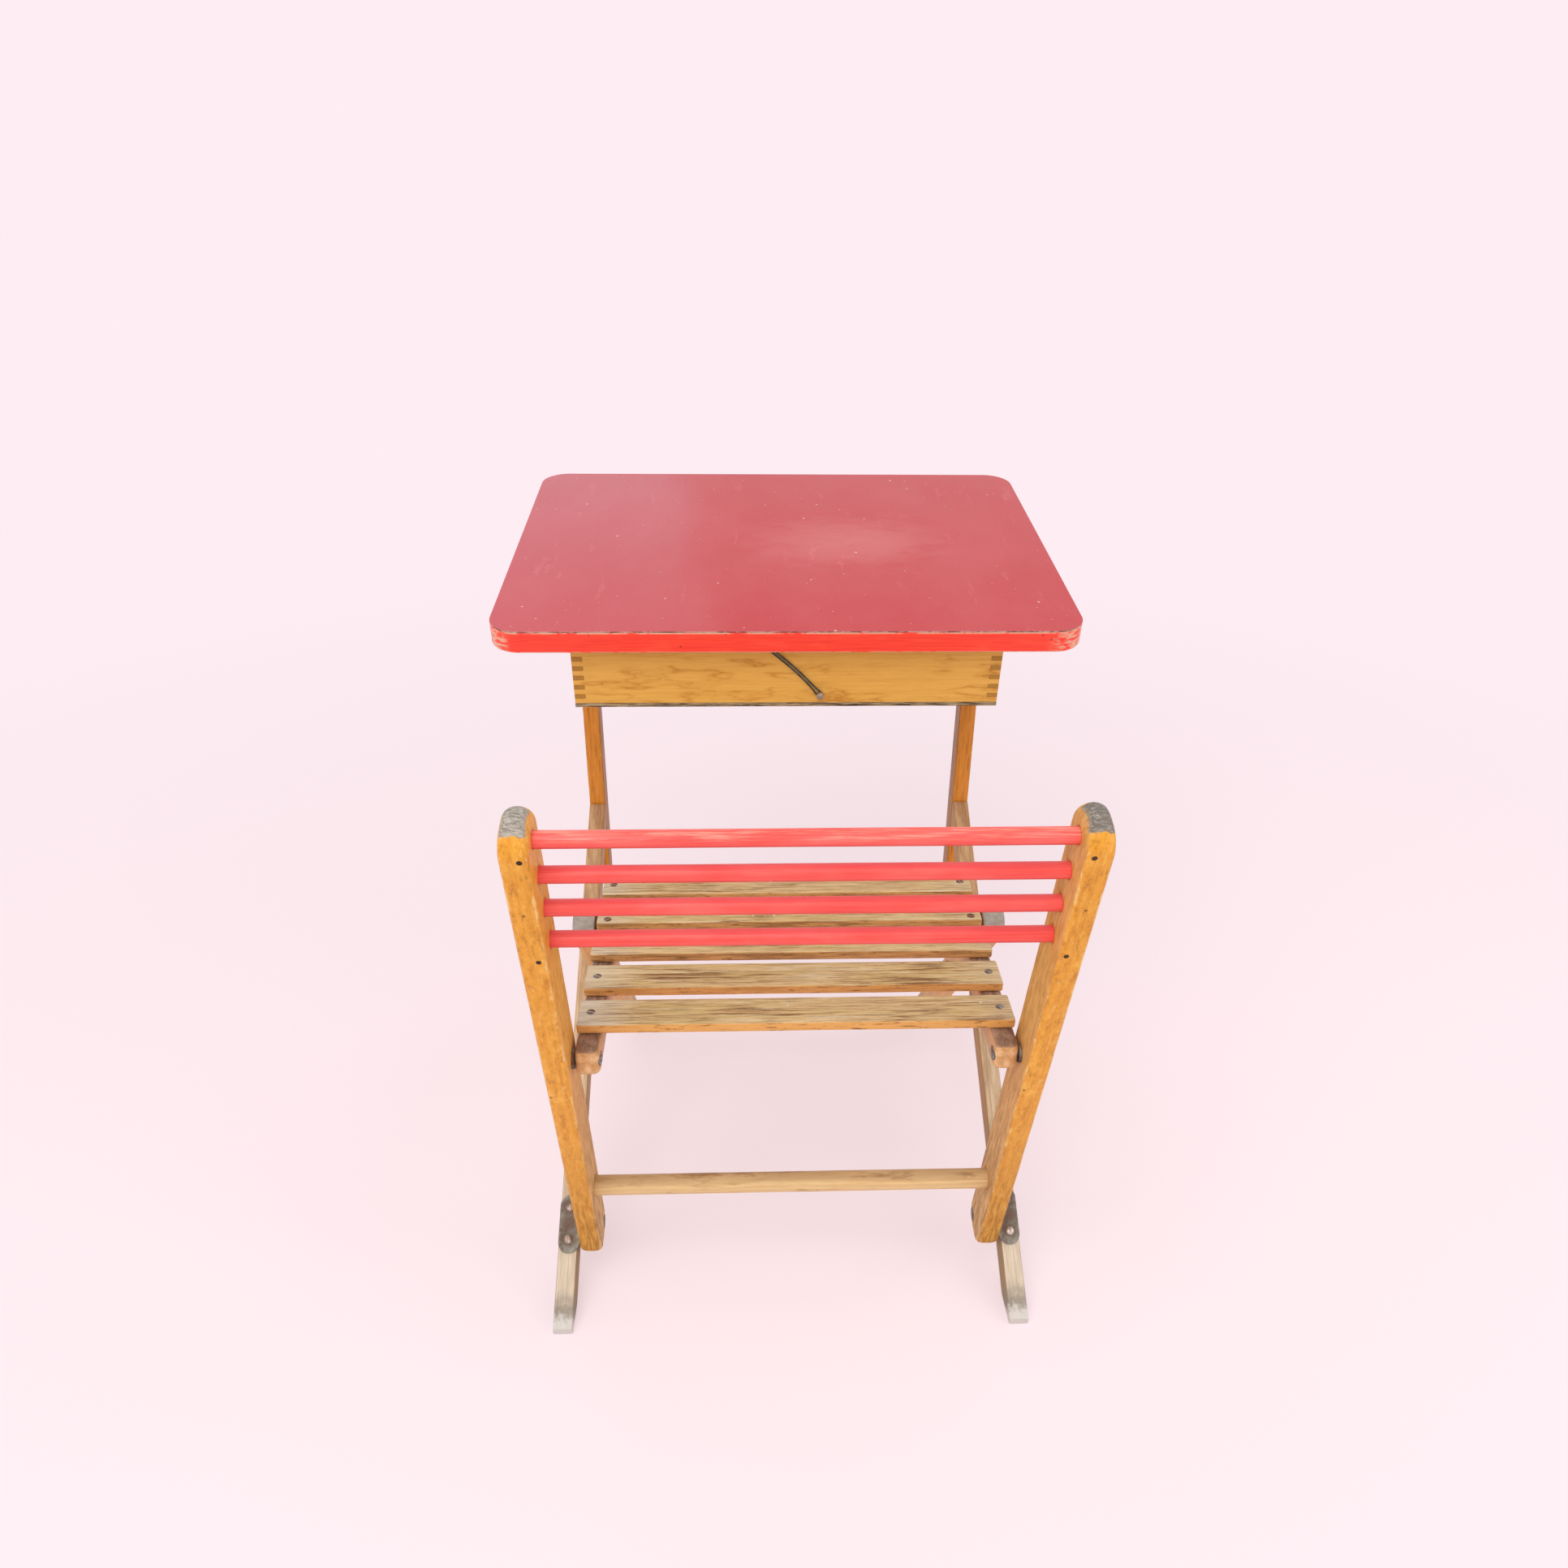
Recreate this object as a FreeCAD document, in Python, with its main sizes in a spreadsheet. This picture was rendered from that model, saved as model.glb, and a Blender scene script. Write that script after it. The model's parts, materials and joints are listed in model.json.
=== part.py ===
import FreeCAD, Part
import math
import os
import re
import Sketcher

# Folding school desk with an attached slatted seat.
# The child looks along +Y, +X is the child's right hand, the floor is Z = 0.
# Lengths are millimetres, angles are degrees.

DRIVING = {
    # Spacing of the layers of wood across the desk
    "post_gap": 350,
    "post_thick": 20,
    "seat_play": 2,
    "running_gap": 0.3,
    "plate_thick": 2,
    "leg_thick": 18,
    "box_play": 1.3,
    "edge_round": 1.6,
    # Rear legs, which carry everything
    "leg_angle": 32.7,
    "leg_depth": 26,
    "leg_heel": 8,
    # Desk uprights
    "upright_y": 468,
    "upright_depth": 28,
    "upright_foot": 185,
    "upright_crown": 16,
    "tenon_length": 16,
    "tenon_height": 14,
    "tenon_thick": 8,
    # Backrest
    "back_pivot_y": 85,
    "back_lean": 15.15,
    "post_depth": 42,
    "post_round": 4,
    "post_offset": 9,
    "post_foot": 7,
    "post_length": 543,
    "bar_radius": 6.25,
    "bar_spacing": 32.5,
    "bar_from_top": 22,
    "bar_socket": 12,
    "low_bar_radius": 9,
    "low_bar_rise": 84.7,
    "nail_radius": 1.1,
    "nail_length": 30,
    # Seat
    "seat_height": 337,
    "slat_thick": 9.5,
    "slat_width": 33,
    "slat_spacing": 47,
    "slat_setback": 13,
    "rail_thick": 20,
    "rail_depth": 25,
    "rail_heel": 8,
    "rail_tail": 8,
    "rail_round": 4,
    "screw_inset": 10,
    "screw_edge": 6,
    "screw_radius": 1.8,
    "screw_length": 26,
    "screw_head_radius": 4,
    "screw_head_thick": 1.8,
    # Front legs
    "seat_reach": 177,
    "front_leg_angle": 48.7,
    "front_leg_depth": 28,
    "front_leg_crown": 9,
    "stretcher_run": 72,
    "stretcher_radius": 9,
    # Pivot bolts
    "bolt_radius": 3,
    "bolt_clearance": 0.05,
    "bolt_end": 0.6,
    "head_radius": 6.5,
    "head_thick": 3,
    "nut_radius": 5.5,
    "nut_thick": 3,
    "washer_radius": 8,
    "pivot_slack": 5.9,
    # Folded plates at the feet of the back posts
    "plate_run": 89,
    "plate_length": 52,
    "plate_drop": 23,
    "plate_screw_spacing": 28,
    "plate_screw_radius": 1.8,
    "plate_screw_length": 18,
    "plate_head_radius": 4.2,
    "plate_head_thick": 2,
    # Desk top and box, measured from the pivot in the uprights
    "desk_pivot_height": 545,
    "desk_slope": 7.7,
    "pivot_drop": 36,
    "near_reach": 207,
    "side_overhang": 69,
    "top_thick": 20,
    "laminate_thick": 1,
    "top_corner": 28,
    "panel_round": 1.2,
    "lid_gap": 0.2,
    "box_inset": 20,
    "box_depth": 350,
    "box_height": 67,
    "box_wall": 10,
    "bottom_thick": 4,
    "stop_length": 20,
    "stop_height": 19,
    "stop_rise": 15,
    "stop_thick": 18,
    # Lid hinges
    "knuckle_radius": 3,
    "hinge_pin_radius": 1.4,
    "hinge_width": 40,
    "hinge_leaf": 1.5,
    "hinge_leaf_drop": 20,
    "hinge_leaf_run": 13,
    "hinge_spacing": 240,
    # Wire hook on the near face of the box
    "hook_x": 30,
    "hook_rise": 13,
    "hook_lean": 44,
    "hook_length": 62,
    "hook_loop_radius": 2.6,
    "hook_wire": 1,
    "hook_screw_radius": 1.5,
    "hook_screw_length": 9,
    "hook_screw_head": 3.4,
}

FINGERS = 13

DERIVED = {
    # Reach of the whole desk behind and ahead of the rear feet, and its middle
    "top_depth": "box_depth + 2 * box_inset",
    "post_half": "post_depth / 2",
    "post_crown": "post_length - post_half",
    "top_far": "top_depth - near_reach",
    "top_under": "pivot_drop + lid_gap",
    "reach_near": "back_pivot_y - post_offset * cos(back_lean) - post_crown * sin(back_lean) - post_half",
    "reach_far": "upright_y + (top_far - panel_round) * cos(desk_slope)"
                 " - (top_under + panel_round) * sin(desk_slope) + panel_round",
    "rear_foot_y": "-(reach_near + reach_far) / 2",
    # Layers, as distances from the middle plane
    "post_in": "post_gap / 2",
    "post_out": "post_in + post_thick",
    "rail_out": "post_in - seat_play",
    "rail_in": "rail_out - rail_thick",
    "plate_in": "post_out + running_gap",
    "leg_in": "plate_in + plate_thick",
    "leg_out": "leg_in + leg_thick",
    "plate_half": "(leg_out - plate_in) / 2",
    "box_half": "leg_in - box_play",
    # Rear leg outline, from its heel
    "leg_rise": "leg_depth / cos(leg_angle)",
    "leg_toe": "(leg_rise - leg_heel) / tan(leg_angle)",
    "upright_back": "upright_y - upright_depth / 2",
    "leg_high": "leg_heel + upright_back * tan(leg_angle)",
    "leg_low": "leg_high - leg_rise",
    "leg_base": "leg_heel - leg_rise / 2",
    "tenon_top": "(leg_high + leg_low + tenon_height) / 2",
    "tenon_foot": "tenon_top - tenon_height",
    # The tenon's root ends half way to where the leg's upper face would cut its corner.
    "tenon_root": "(leg_high - tenon_top) / tan(leg_angle) / 2",
    # Pivots in side view
    "back_pivot_z": "leg_base + back_pivot_y * tan(leg_angle)",
    "rail_z": "seat_height - slat_thick - rail_depth / 2",
    "back_y": "rear_foot_y + back_pivot_y",
    "seat_y": "back_y - post_offset / cos(back_lean) - (rail_z - back_pivot_z) * tan(back_lean)",
    "front_y": "seat_y + seat_reach",
    "front_tan": "tan(front_leg_angle)",
    "leg_y": "(rail_z + front_y * front_tan - leg_base + rear_foot_y * tan(leg_angle))"
             " / (tan(leg_angle) + front_tan)",
    "leg_pivot_z": "leg_base + (leg_y - rear_foot_y) * tan(leg_angle)",
    "desk_y": "rear_foot_y + upright_y",
    # Outlines of the rounded bars, each in its own frame
    "upright_half": "upright_depth / 2",
    "upright_low": "upright_foot + upright_half",
    "upright_high": "desk_pivot_height + upright_crown",
    "rail_half": "rail_depth / 2",
    "slat_half": "slat_width / 2",
    "rail_toe": "slat_setback + 4 * slat_spacing + slat_width + rail_tail",
    "front_half": "front_leg_depth / 2",
    "front_run": "(leg_y - front_y) / cos(front_leg_angle)",
    "front_crown": "front_run + front_leg_crown",
    "front_toe": "-(leg_pivot_z + front_half * cos(front_leg_angle)) / sin(front_leg_angle)",
    "front_heel": "-(leg_pivot_z - front_half * cos(front_leg_angle)) / sin(front_leg_angle)",
    # Desk box in the desk's own sloping frame, from the pivot
    "top_half": "box_half + side_overhang",
    "top_near": "-near_reach",
    "box_near": "box_inset - near_reach",
    "box_far": "box_near + box_depth",
    "wall_foot": "pivot_drop - box_height + bottom_thick",
    "wall_height": "box_height - bottom_thick",
    "finger": f"wall_height / {FINGERS}",
    "hinge_y": "box_far + knuckle_radius + running_gap",
    "hinge_z": "top_under - knuckle_radius - running_gap",
    "hinge_third": "hinge_width / 3",
    "knuckle_clear": "knuckle_radius + 2 * running_gap",
}

SIDES = {"left": -1, "right": 1}
SLATS = range(5)
BARS = range(4)
CUT_MARGIN = 1.0

doc = FreeCAD.newDocument("folding_school_desk")
sheet = doc.addObject("Spreadsheet::Sheet", "dims")
for row, (name, value) in enumerate(DRIVING.items(), start=1):
    sheet.set(f"A{row}", name)
    sheet.set(f"B{row}", str(value))
    sheet.setAlias(f"B{row}", name)
for row, (name, formula) in enumerate(DERIVED.items(), start=1):
    sheet.set(f"D{row}", name)
    sheet.set(f"E{row}", "=" + formula)
    sheet.setAlias(f"E{row}", name)
doc.recompute()

WORD = re.compile(r"[a-z_]+")
ACROSS = FreeCAD.Rotation(FreeCAD.Vector(0, 1, 0), 90)
X_AXIS = FreeCAD.Vector(1, 0, 0)
NODES = {}


def size(text):
    """The number of a sheet value, with an optional minus sign in front."""
    if text == "0":
        return 0.0
    if text.startswith("-"):
        return -float(sheet.get(text[1:]))
    return float(sheet.get(text))


def bind(item, prop, text):
    """Tie a property to a formula written in the sheet's own words."""
    def in_sheet(match):
        word = match.group()
        known = word in DRIVING or word in DERIVED
        return "dims." + word if known else word
    item.setExpression(prop, WORD.sub(in_sheet, text))


def place(item, x, y, z, turn=None):
    """Set a piece at a point, turned about the X direction."""
    if turn is not None:
        item.Placement = FreeCAD.Placement(FreeCAD.Vector(), FreeCAD.Rotation(X_AXIS, 45))
        bind(item, "Placement.Rotation.Angle", turn)
    bind(item, "Placement.Base.x", x)
    bind(item, "Placement.Base.y", y)
    bind(item, "Placement.Base.z", z)


def on_post(run, ahead="0"):
    """A point of the leaning backrest: up the posts from their pivot, and ahead of their middle line."""
    across = f"({ahead} - post_offset)"
    y = f"back_y - ({run}) * sin(back_lean) + {across} * cos(back_lean)"
    z = f"back_pivot_z + ({run}) * cos(back_lean) + {across} * sin(back_lean)"
    return y, z


def on_leg(run, above="0"):
    """A point of the rear legs: along their upper face from the heel, and square to it."""
    y = f"rear_foot_y + ({run}) * cos(leg_angle) - ({above}) * sin(leg_angle)"
    z = f"leg_heel + ({run}) * sin(leg_angle) + ({above}) * cos(leg_angle)"
    return y, z


def on_front_leg(run):
    """A point on the middle line of the front legs, down from their crossing pivot."""
    y = f"leg_y + ({run}) * cos(front_leg_angle)"
    z = f"leg_pivot_z - ({run}) * sin(front_leg_angle)"
    return y, z


def on_desk(along, above):
    """A point of the sloping desk, from its pivot: away from the child, and square to the top."""
    y = f"desk_y + ({along}) * cos(desk_slope) - ({above}) * sin(desk_slope)"
    z = f"desk_pivot_height + ({along}) * sin(desk_slope) + ({above}) * cos(desk_slope)"
    return y, z


def rod(name, radius, start, stop, side, y, z):
    """A cylinder across the desk between two distances from the middle plane."""
    item = doc.addObject("Part::Cylinder", name)
    item.Placement = FreeCAD.Placement(FreeCAD.Vector(), ACROSS)
    bind(item, "Radius", radius)
    bind(item, "Height", f"({stop}) - ({start})")
    bind(item, "Placement.Base.x", start if side > 0 else f"-({stop})")
    bind(item, "Placement.Base.y", y)
    bind(item, "Placement.Base.z", z)
    return item


def pin(name, radius, length, x, y, z, turn):
    """A cylinder that starts at a point and stands along the turned Z direction."""
    item = doc.addObject("Part::Cylinder", name)
    bind(item, "Radius", radius)
    bind(item, "Height", length)
    place(item, x, y, z, turn)
    return item


def block(name, length, width, height, x, y, z, turn=None):
    """A rectangular piece: size in X, Y and Z, then its lowest corner."""
    item = doc.addObject("Part::Box", name)
    bind(item, "Length", length)
    bind(item, "Width", width)
    bind(item, "Height", height)
    place(item, x, y, z, turn)
    return item


def fuse(name, items):
    item = doc.addObject("Part::MultiFuse", name)
    item.Shapes = items
    return item


def cut(name, base, tools):
    """A base piece with every tool taken out of it."""
    item = doc.addObject("Part::Cut", name)
    item.Base = base
    item.Tool = tools[0] if len(tools) == 1 else fuse(name + "_tools", tools)
    return item


def node(name, item):
    """Name a finished piece; its name is the name of its file."""
    item.Label = name
    NODES[name] = item


def group(name, items):
    """Equal fasteners of one body, kept as separate solids in one node."""
    item = doc.addObject("Part::Compound", name + "_group")
    item.Links = items
    node(name, item)


def origin_plane(body, role):
    return next(item for item in body.Origin.OriginFeatures if item.Role == role)


def outline(body, plane, corners, crowns=None):
    """A closed sketch through the corners; a crown turns one side into a half round end."""
    crowns = crowns or {}
    sketch = body.newObject("Sketcher::SketchObject", body.Name + "_outline")
    sketch.AttachmentSupport = [(origin_plane(body, plane), "")]
    sketch.MapMode = "FlatFace"
    points = [FreeCAD.Vector(size(across), size(up), 0) for across, up in corners]
    count = len(points)
    for i, point in enumerate(points):
        if i in crowns:
            centre = FreeCAD.Vector(0, size(crowns[i]), 0)
            ring = Part.Circle(centre, FreeCAD.Vector(0, 0, 1), abs(point.x))
            begin = 0 if point.x > 0 else math.pi
            sketch.addGeometry(Part.ArcOfCircle(ring, begin, begin + math.pi))
        else:
            sketch.addGeometry(Part.LineSegment(point, points[(i + 1) % count]))
    for i, (across, up) in enumerate(corners):
        sketch.addConstraint(Sketcher.Constraint("Coincident", i, 2, (i + 1) % count, 1))
        for kind, text in (("DistanceX", across), ("DistanceY", up)):
            index = sketch.addConstraint(Sketcher.Constraint(kind, -1, 1, i, 1, size(text)))
            sketch.renameConstraint(index, f"{kind}_{i}")
            bind(sketch, f"Constraints.{kind}_{i}", text)
    for i, up in crowns.items():
        index = sketch.addConstraint(Sketcher.Constraint("DistanceY", -1, 1, i, 3, size(up)))
        sketch.renameConstraint(index, f"crown_{i}")
        bind(sketch, f"Constraints.crown_{i}", up)
    return sketch


def pad(body, sketch, thick):
    feature = body.newObject("PartDesign::Pad", body.Name + "_pad")
    feature.Profile = sketch
    bind(feature, "Length", thick)
    doc.recompute()
    return feature


def soften(body, feature, radius, edges=None):
    """Round the named edges of a feature, or all of them."""
    fillet = body.newObject("PartDesign::Fillet", body.Name + "_soft")
    fillet.Base = (feature, edges or ["Edge1"])
    fillet.UseAllEdges = edges is None
    bind(fillet, "Radius", radius)
    doc.recompute()
    return fillet


def bar(name, corners, crowns, thick, x, y, z, turn=None, radius="edge_round"):
    """A wooden bar sawn to a side outline, with softened edges."""
    body = doc.addObject("PartDesign::Body", name)
    profile = outline(body, "YZ_Plane", corners, crowns)
    soften(body, pad(body, profile, thick), radius)
    place(body, x, y, z, turn)
    return body


def round_bar(name, half, low, high, thick, x, y, z, turn=None, radius="edge_round"):
    """A bar with both ends half round."""
    corners = [(half, low), (half, high), ("-" + half, high), ("-" + half, low)]
    return bar(name, corners, {1: high, 3: low}, thick, x, y, z, turn, radius)


def inner_x(side, inner, outer):
    """The lowest X of a layer between two distances from the middle plane."""
    return inner if side > 0 else "-" + outer


BOLT_HOLE = "bolt_radius + bolt_clearance"
HEAD_HOLE = "head_radius + running_gap"
HEAD_SINK = "head_thick + running_gap"
NUT_HOLE = "nut_radius + running_gap"
NUT_SINK = "nut_thick + running_gap / 2"


def bolt(name, side, y, z, start, stop, head_start):
    """A pivot bolt: its shank, and a flat round head."""
    shank = rod(name + "_shank", "bolt_radius", start, stop, side, y, z)
    head = rod(name + "_head", "head_radius", head_start, f"{head_start} + head_thick", side, y, z)
    return fuse(name, [shank, head])


def nut(name, side, y, z, start):
    """A six-sided nut on a pivot bolt."""
    prism = doc.addObject("Part::Prism", name + "_blank")
    prism.Polygon = 6
    prism.Placement = FreeCAD.Placement(FreeCAD.Vector(), ACROSS)
    bind(prism, "Circumradius", "nut_radius")
    bind(prism, "Height", "nut_thick")
    bind(prism, "Placement.Base.x", start if side > 0 else f"-({start}) - nut_thick")
    bind(prism, "Placement.Base.y", y)
    bind(prism, "Placement.Base.z", z)
    hole = rod(name + "_hole", BOLT_HOLE, f"{start} - {CUT_MARGIN}",
               f"{start} + nut_thick + {CUT_MARGIN}", side, y, z)
    return cut(name, prism, [hole])


def washer(name, side, y, z, start, stop):
    disc = rod(name + "_disc", "washer_radius", start, stop, side, y, z)
    hole = rod(name + "_hole", BOLT_HOLE, f"{start} - {CUT_MARGIN}", f"{stop} + {CUT_MARGIN}", side, y, z)
    return cut(name, disc, [hole])


def bolt_hole(name, side, y, z, inner, outer):
    """A running hole right through a layer."""
    return rod(name, BOLT_HOLE, f"{inner} - {CUT_MARGIN}", f"{outer} + {CUT_MARGIN}", side, y, z)


BACK_PIVOT = ("back_y", "back_pivot_z")
SEAT_PIVOT = ("seat_y", "rail_z")
FRONT_PIVOT = ("front_y", "rail_z")
LEG_PIVOT = ("leg_y", "leg_pivot_z")
DESK_PIVOT = ("desk_y", "desk_pivot_height")
BAR_RUNS = [f"post_length - bar_from_top - {i} * bar_spacing" for i in BARS]
NAILED_BARS = (0, 3)
SLAT_MIDS = [f"seat_y + slat_setback + slat_half + {i} * slat_spacing" for i in SLATS]
# The fourth slat lies over the front pivots, so its screws stand near its rear edge.
SCREW_PLACES = SLAT_MIDS[:3] + [f"{SLAT_MIDS[3]} - slat_half + screw_edge"] + SLAT_MIDS[4:]


def rear_leg(side_name, side):
    """A slanting leg with a flat foot, tenoned square into its upright."""
    name = f"rear_leg_{side_name}"
    corners = [("0", "0"), ("leg_toe", "0"), ("upright_back", "leg_low"),
               ("upright_back", "leg_high"), ("0", "leg_heel")]
    x = inner_x(side, "leg_in", "leg_out")
    body = bar(name + "_bar", corners, None, "leg_thick", x, "rear_foot_y", "0")
    tenon = block(name + "_tenon", "tenon_thick", "tenon_root + tenon_length", "tenon_height",
                  f"{x} + (leg_thick - tenon_thick) / 2",
                  "rear_foot_y + upright_back - tenon_root", "tenon_foot")
    whole = fuse(name + "_whole", [body, tenon])
    holes = []
    for i, (y, z) in enumerate((BACK_PIVOT, LEG_PIVOT)):
        holes.append(bolt_hole(f"{name}_hole_{i}", side, y, z, "leg_in", "leg_out"))
        holes.append(rod(f"{name}_sink_{i}", NUT_HOLE, f"leg_out - ({NUT_SINK})",
                         f"leg_out + {CUT_MARGIN}", side, y, z))
    holes += plate_screw_pins(name, side, "plate_screw_radius + bolt_clearance")
    node(name, cut(name, whole, holes))


def upright(side_name, side):
    """An upright bar beside the desk box, mortised for the rear leg."""
    name = f"desk_upright_{side_name}"
    x = inner_x(side, "leg_in", "leg_out")
    body = round_bar(name + "_bar", "upright_half", "upright_low", "upright_high", "leg_thick",
                     x, "desk_y", "0")
    mortise = block(name + "_mortise", "tenon_thick", f"tenon_length + {CUT_MARGIN}", "tenon_height",
                    f"{x} + (leg_thick - tenon_thick) / 2",
                    f"rear_foot_y + upright_back - {CUT_MARGIN}", "tenon_foot")
    hole = bolt_hole(name + "_hole", side, *DESK_PIVOT, "leg_in", "leg_out")
    node(name, cut(name, body, [mortise, hole]))


def plate_screw_places(side):
    """Where the two screws of a plate stand on the rear leg's upper face."""
    middle = "(leg_in + leg_out) / 2"
    x = middle if side > 0 else f"-{middle}"
    for step in (-1, 1):
        yield x, f"plate_run + {step} * plate_screw_spacing / 2"


def plate_screw_pins(name, side, radius):
    """Straight pins along the plate screws, from the leg up through the plate."""
    pins = []
    for i, (x, run) in enumerate(plate_screw_places(side)):
        y, z = on_leg(run, "plate_thick - plate_screw_length")
        pins.append(pin(f"{name}_screw_{i}", radius, "plate_screw_length", x, y, z, "leg_angle"))
    return pins


def pivot_plate(side_name, side):
    """A folded plate: one leaf on the leg's upper face, one between leg and post."""
    name = f"pivot_plate_{side_name}"
    y, z = on_leg("plate_run - plate_length / 2 + plate_half")
    top = [block(name + "_top", "2 * plate_half", "plate_length - 2 * plate_half", "plate_thick",
                 inner_x(side, "plate_in", "leg_out"), y, z, "leg_angle")]
    middle = "(plate_in + plate_half)"
    x = middle if side > 0 else "-" + middle
    for step in (-1, 1):
        y, z = on_leg(f"plate_run + {step} * (plate_length / 2 - plate_half)")
        top.append(pin(f"{name}_end_{step + 1}", "plate_half", "plate_thick", x, y, z, "leg_angle"))
    y, z = on_leg("plate_run - plate_length / 2 + plate_half", "-plate_drop")
    leaf = block(name + "_leaf", "plate_thick", "plate_length - 2 * plate_half", f"plate_drop + {CUT_MARGIN}",
                 inner_x(side, "plate_in", "leg_in"), y, z, "leg_angle")
    whole = fuse(name + "_whole", top + [leaf])
    holes = [bolt_hole(name + "_hole", side, *BACK_PIVOT, "plate_in", "leg_in")]
    holes += plate_screw_pins(name, side, "plate_screw_radius + bolt_clearance")
    node(name, cut(name, whole, holes))


def plate_screws():
    screws = []
    for side_name, side in SIDES.items():
        shanks = plate_screw_pins(f"plate_shank_{side_name}", side, "plate_screw_radius")
        for i, (x, run) in enumerate(plate_screw_places(side)):
            y, z = on_leg(run, "plate_thick")
            head = pin(f"plate_head_{side_name}_{i}", "plate_head_radius", "plate_head_thick",
                       x, y, z, "leg_angle")
            screws.append(fuse(f"plate_screw_{side_name}_{i}", [shanks[i], head]))
    group("plate_screws", screws)


def front_leg(side_name, side):
    """A front leg that crosses the rear leg, with a rounded top and a flat foot."""
    name = f"front_leg_{side_name}"
    corners = [("front_half", "front_toe"), ("front_half", "front_crown"),
               ("-front_half", "front_crown"), ("-front_half", "front_heel")]
    body = bar(name + "_bar", corners, {1: "front_crown"}, "post_thick",
               inner_x(side, "post_in", "post_out"), *LEG_PIVOT, "90 - front_leg_angle")
    sink = rod(name + "_sink", HEAD_HOLE, f"post_in - {CUT_MARGIN}", f"post_in + {HEAD_SINK}",
               side, *LEG_PIVOT)
    seat_sink = rod(name + "_seat_sink", HEAD_HOLE, f"post_out - ({HEAD_SINK})",
                    f"post_out + {CUT_MARGIN}", side, *FRONT_PIVOT)
    socket = rod(name + "_socket", "stretcher_radius + bolt_clearance", f"post_in - {CUT_MARGIN}",
                 "post_in + bar_socket + running_gap", side, *on_front_leg("stretcher_run"))
    holes = [bolt_hole(f"{name}_hole_{i}", side, y, z, "post_in", "post_out")
             for i, (y, z) in enumerate((LEG_PIVOT, FRONT_PIVOT))]
    node(name, cut(name, body, [sink, seat_sink, socket] + holes))


def front_stretcher():
    node("front_stretcher", rod("front_stretcher", "stretcher_radius", "-(post_in + bar_socket)",
                                "post_in + bar_socket", 1, *on_front_leg("stretcher_run")))


def nail_pins(name, side, i, radius):
    """A nail through the back of a post into the end of a round bar."""
    middle = "post_in + bar_socket / 2"
    y, z = on_post(BAR_RUNS[i], "-post_half")
    x = middle if side > 0 else f"-({middle})"
    return pin(name, radius, "nail_length", x, y, z, "back_lean - 90")


def back_post(side_name, side):
    """A leaning post with rounded ends, bored for the round bars."""
    name = f"back_post_{side_name}"
    body = round_bar(name + "_bar", "post_half", "post_foot", "post_crown", "post_thick",
                     inner_x(side, "post_in", "post_out"), *on_post("0"), "back_lean", "post_round")
    holes = [bolt_hole(f"{name}_hole_{i}", side, y, z, "post_in", "post_out")
             for i, (y, z) in enumerate((BACK_PIVOT, SEAT_PIVOT))]
    holes.append(rod(name + "_foot_sink", HEAD_HOLE, f"post_in - {CUT_MARGIN}",
                     f"post_in + {HEAD_SINK}", side, *BACK_PIVOT))
    holes.append(rod(name + "_seat_sink", HEAD_HOLE, f"post_out - ({HEAD_SINK})",
                     f"post_out + {CUT_MARGIN}", side, *SEAT_PIVOT))
    sockets = [(run, "bar_radius") for run in BAR_RUNS] + [("low_bar_rise", "low_bar_radius")]
    for i, (run, radius) in enumerate(sockets):
        holes.append(rod(f"{name}_socket_{i}", f"{radius} + bolt_clearance", f"post_in - {CUT_MARGIN}",
                         "post_in + bar_socket + running_gap", side, *on_post(run)))
    for i in NAILED_BARS:
        holes.append(nail_pins(f"{name}_nail_{i}", side, i, "nail_radius + bolt_clearance"))
    node(name, cut(name, body, holes))


def back_bars():
    """Four thin bars behind the child's back and one stout bar near the feet."""
    end = "post_in + bar_socket"
    nails = []
    for i in BARS:
        name = f"back_bar_{i + 1}"
        blank = rod(name + "_blank", "bar_radius", f"-({end})", end, 1, *on_post(BAR_RUNS[i]))
        if i in NAILED_BARS:
            holes = []
            for side_name, side in SIDES.items():
                holes.append(nail_pins(f"{name}_hole_{side_name}", side, i, "nail_radius + bolt_clearance"))
                nails.append(nail_pins(f"bar_nail_{i}_{side_name}", side, i, "nail_radius"))
            node(name, cut(name, blank, holes))
        else:
            node(name, blank)
    node("lower_bar", rod("lower_bar", "low_bar_radius", f"-({end})", end, 1, *on_post("low_bar_rise")))
    group("bar_nails", nails)


def seat_rail(side_name, side):
    """A rail under the slats; it hangs between the back post and the front leg."""
    name = f"seat_rail_{side_name}"
    corners = [("rail_half", "-rail_heel"), ("rail_half", "rail_toe"),
               ("-rail_half", "rail_toe"), ("-rail_half", "-rail_heel")]
    body = bar(name + "_bar", corners, None, "rail_thick", inner_x(side, "rail_in", "rail_out"),
               *SEAT_PIVOT, "-90", "rail_round")
    holes = [bolt_hole(name + "_hole", side, *SEAT_PIVOT, "rail_in", "rail_out")]
    holes.append(rod(name + "_sink", NUT_HOLE, f"rail_in - {CUT_MARGIN}",
                     "rail_in + nut_thick + running_gap", side, *SEAT_PIVOT))
    holes.append(rod(name + "_slack_hole", "bolt_radius + pivot_slack", f"rail_in - {CUT_MARGIN}",
                     f"rail_out + {CUT_MARGIN}", side, *FRONT_PIVOT))
    for i in SLATS:
        holes.append(slat_screw_pin(f"{name}_pilot_{i}", side, i, "screw_radius + bolt_clearance"))
    node(name, cut(name, body, holes))


def slat_screw_pin(name, side, i, radius):
    """A straight pin down through a slat's end into the rail."""
    middle = "(rail_out - screw_inset)"
    x = middle if side > 0 else f"-{middle}"
    return pin(name, radius, "screw_length", x, SCREW_PLACES[i], "seat_height - screw_length", "0")


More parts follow.
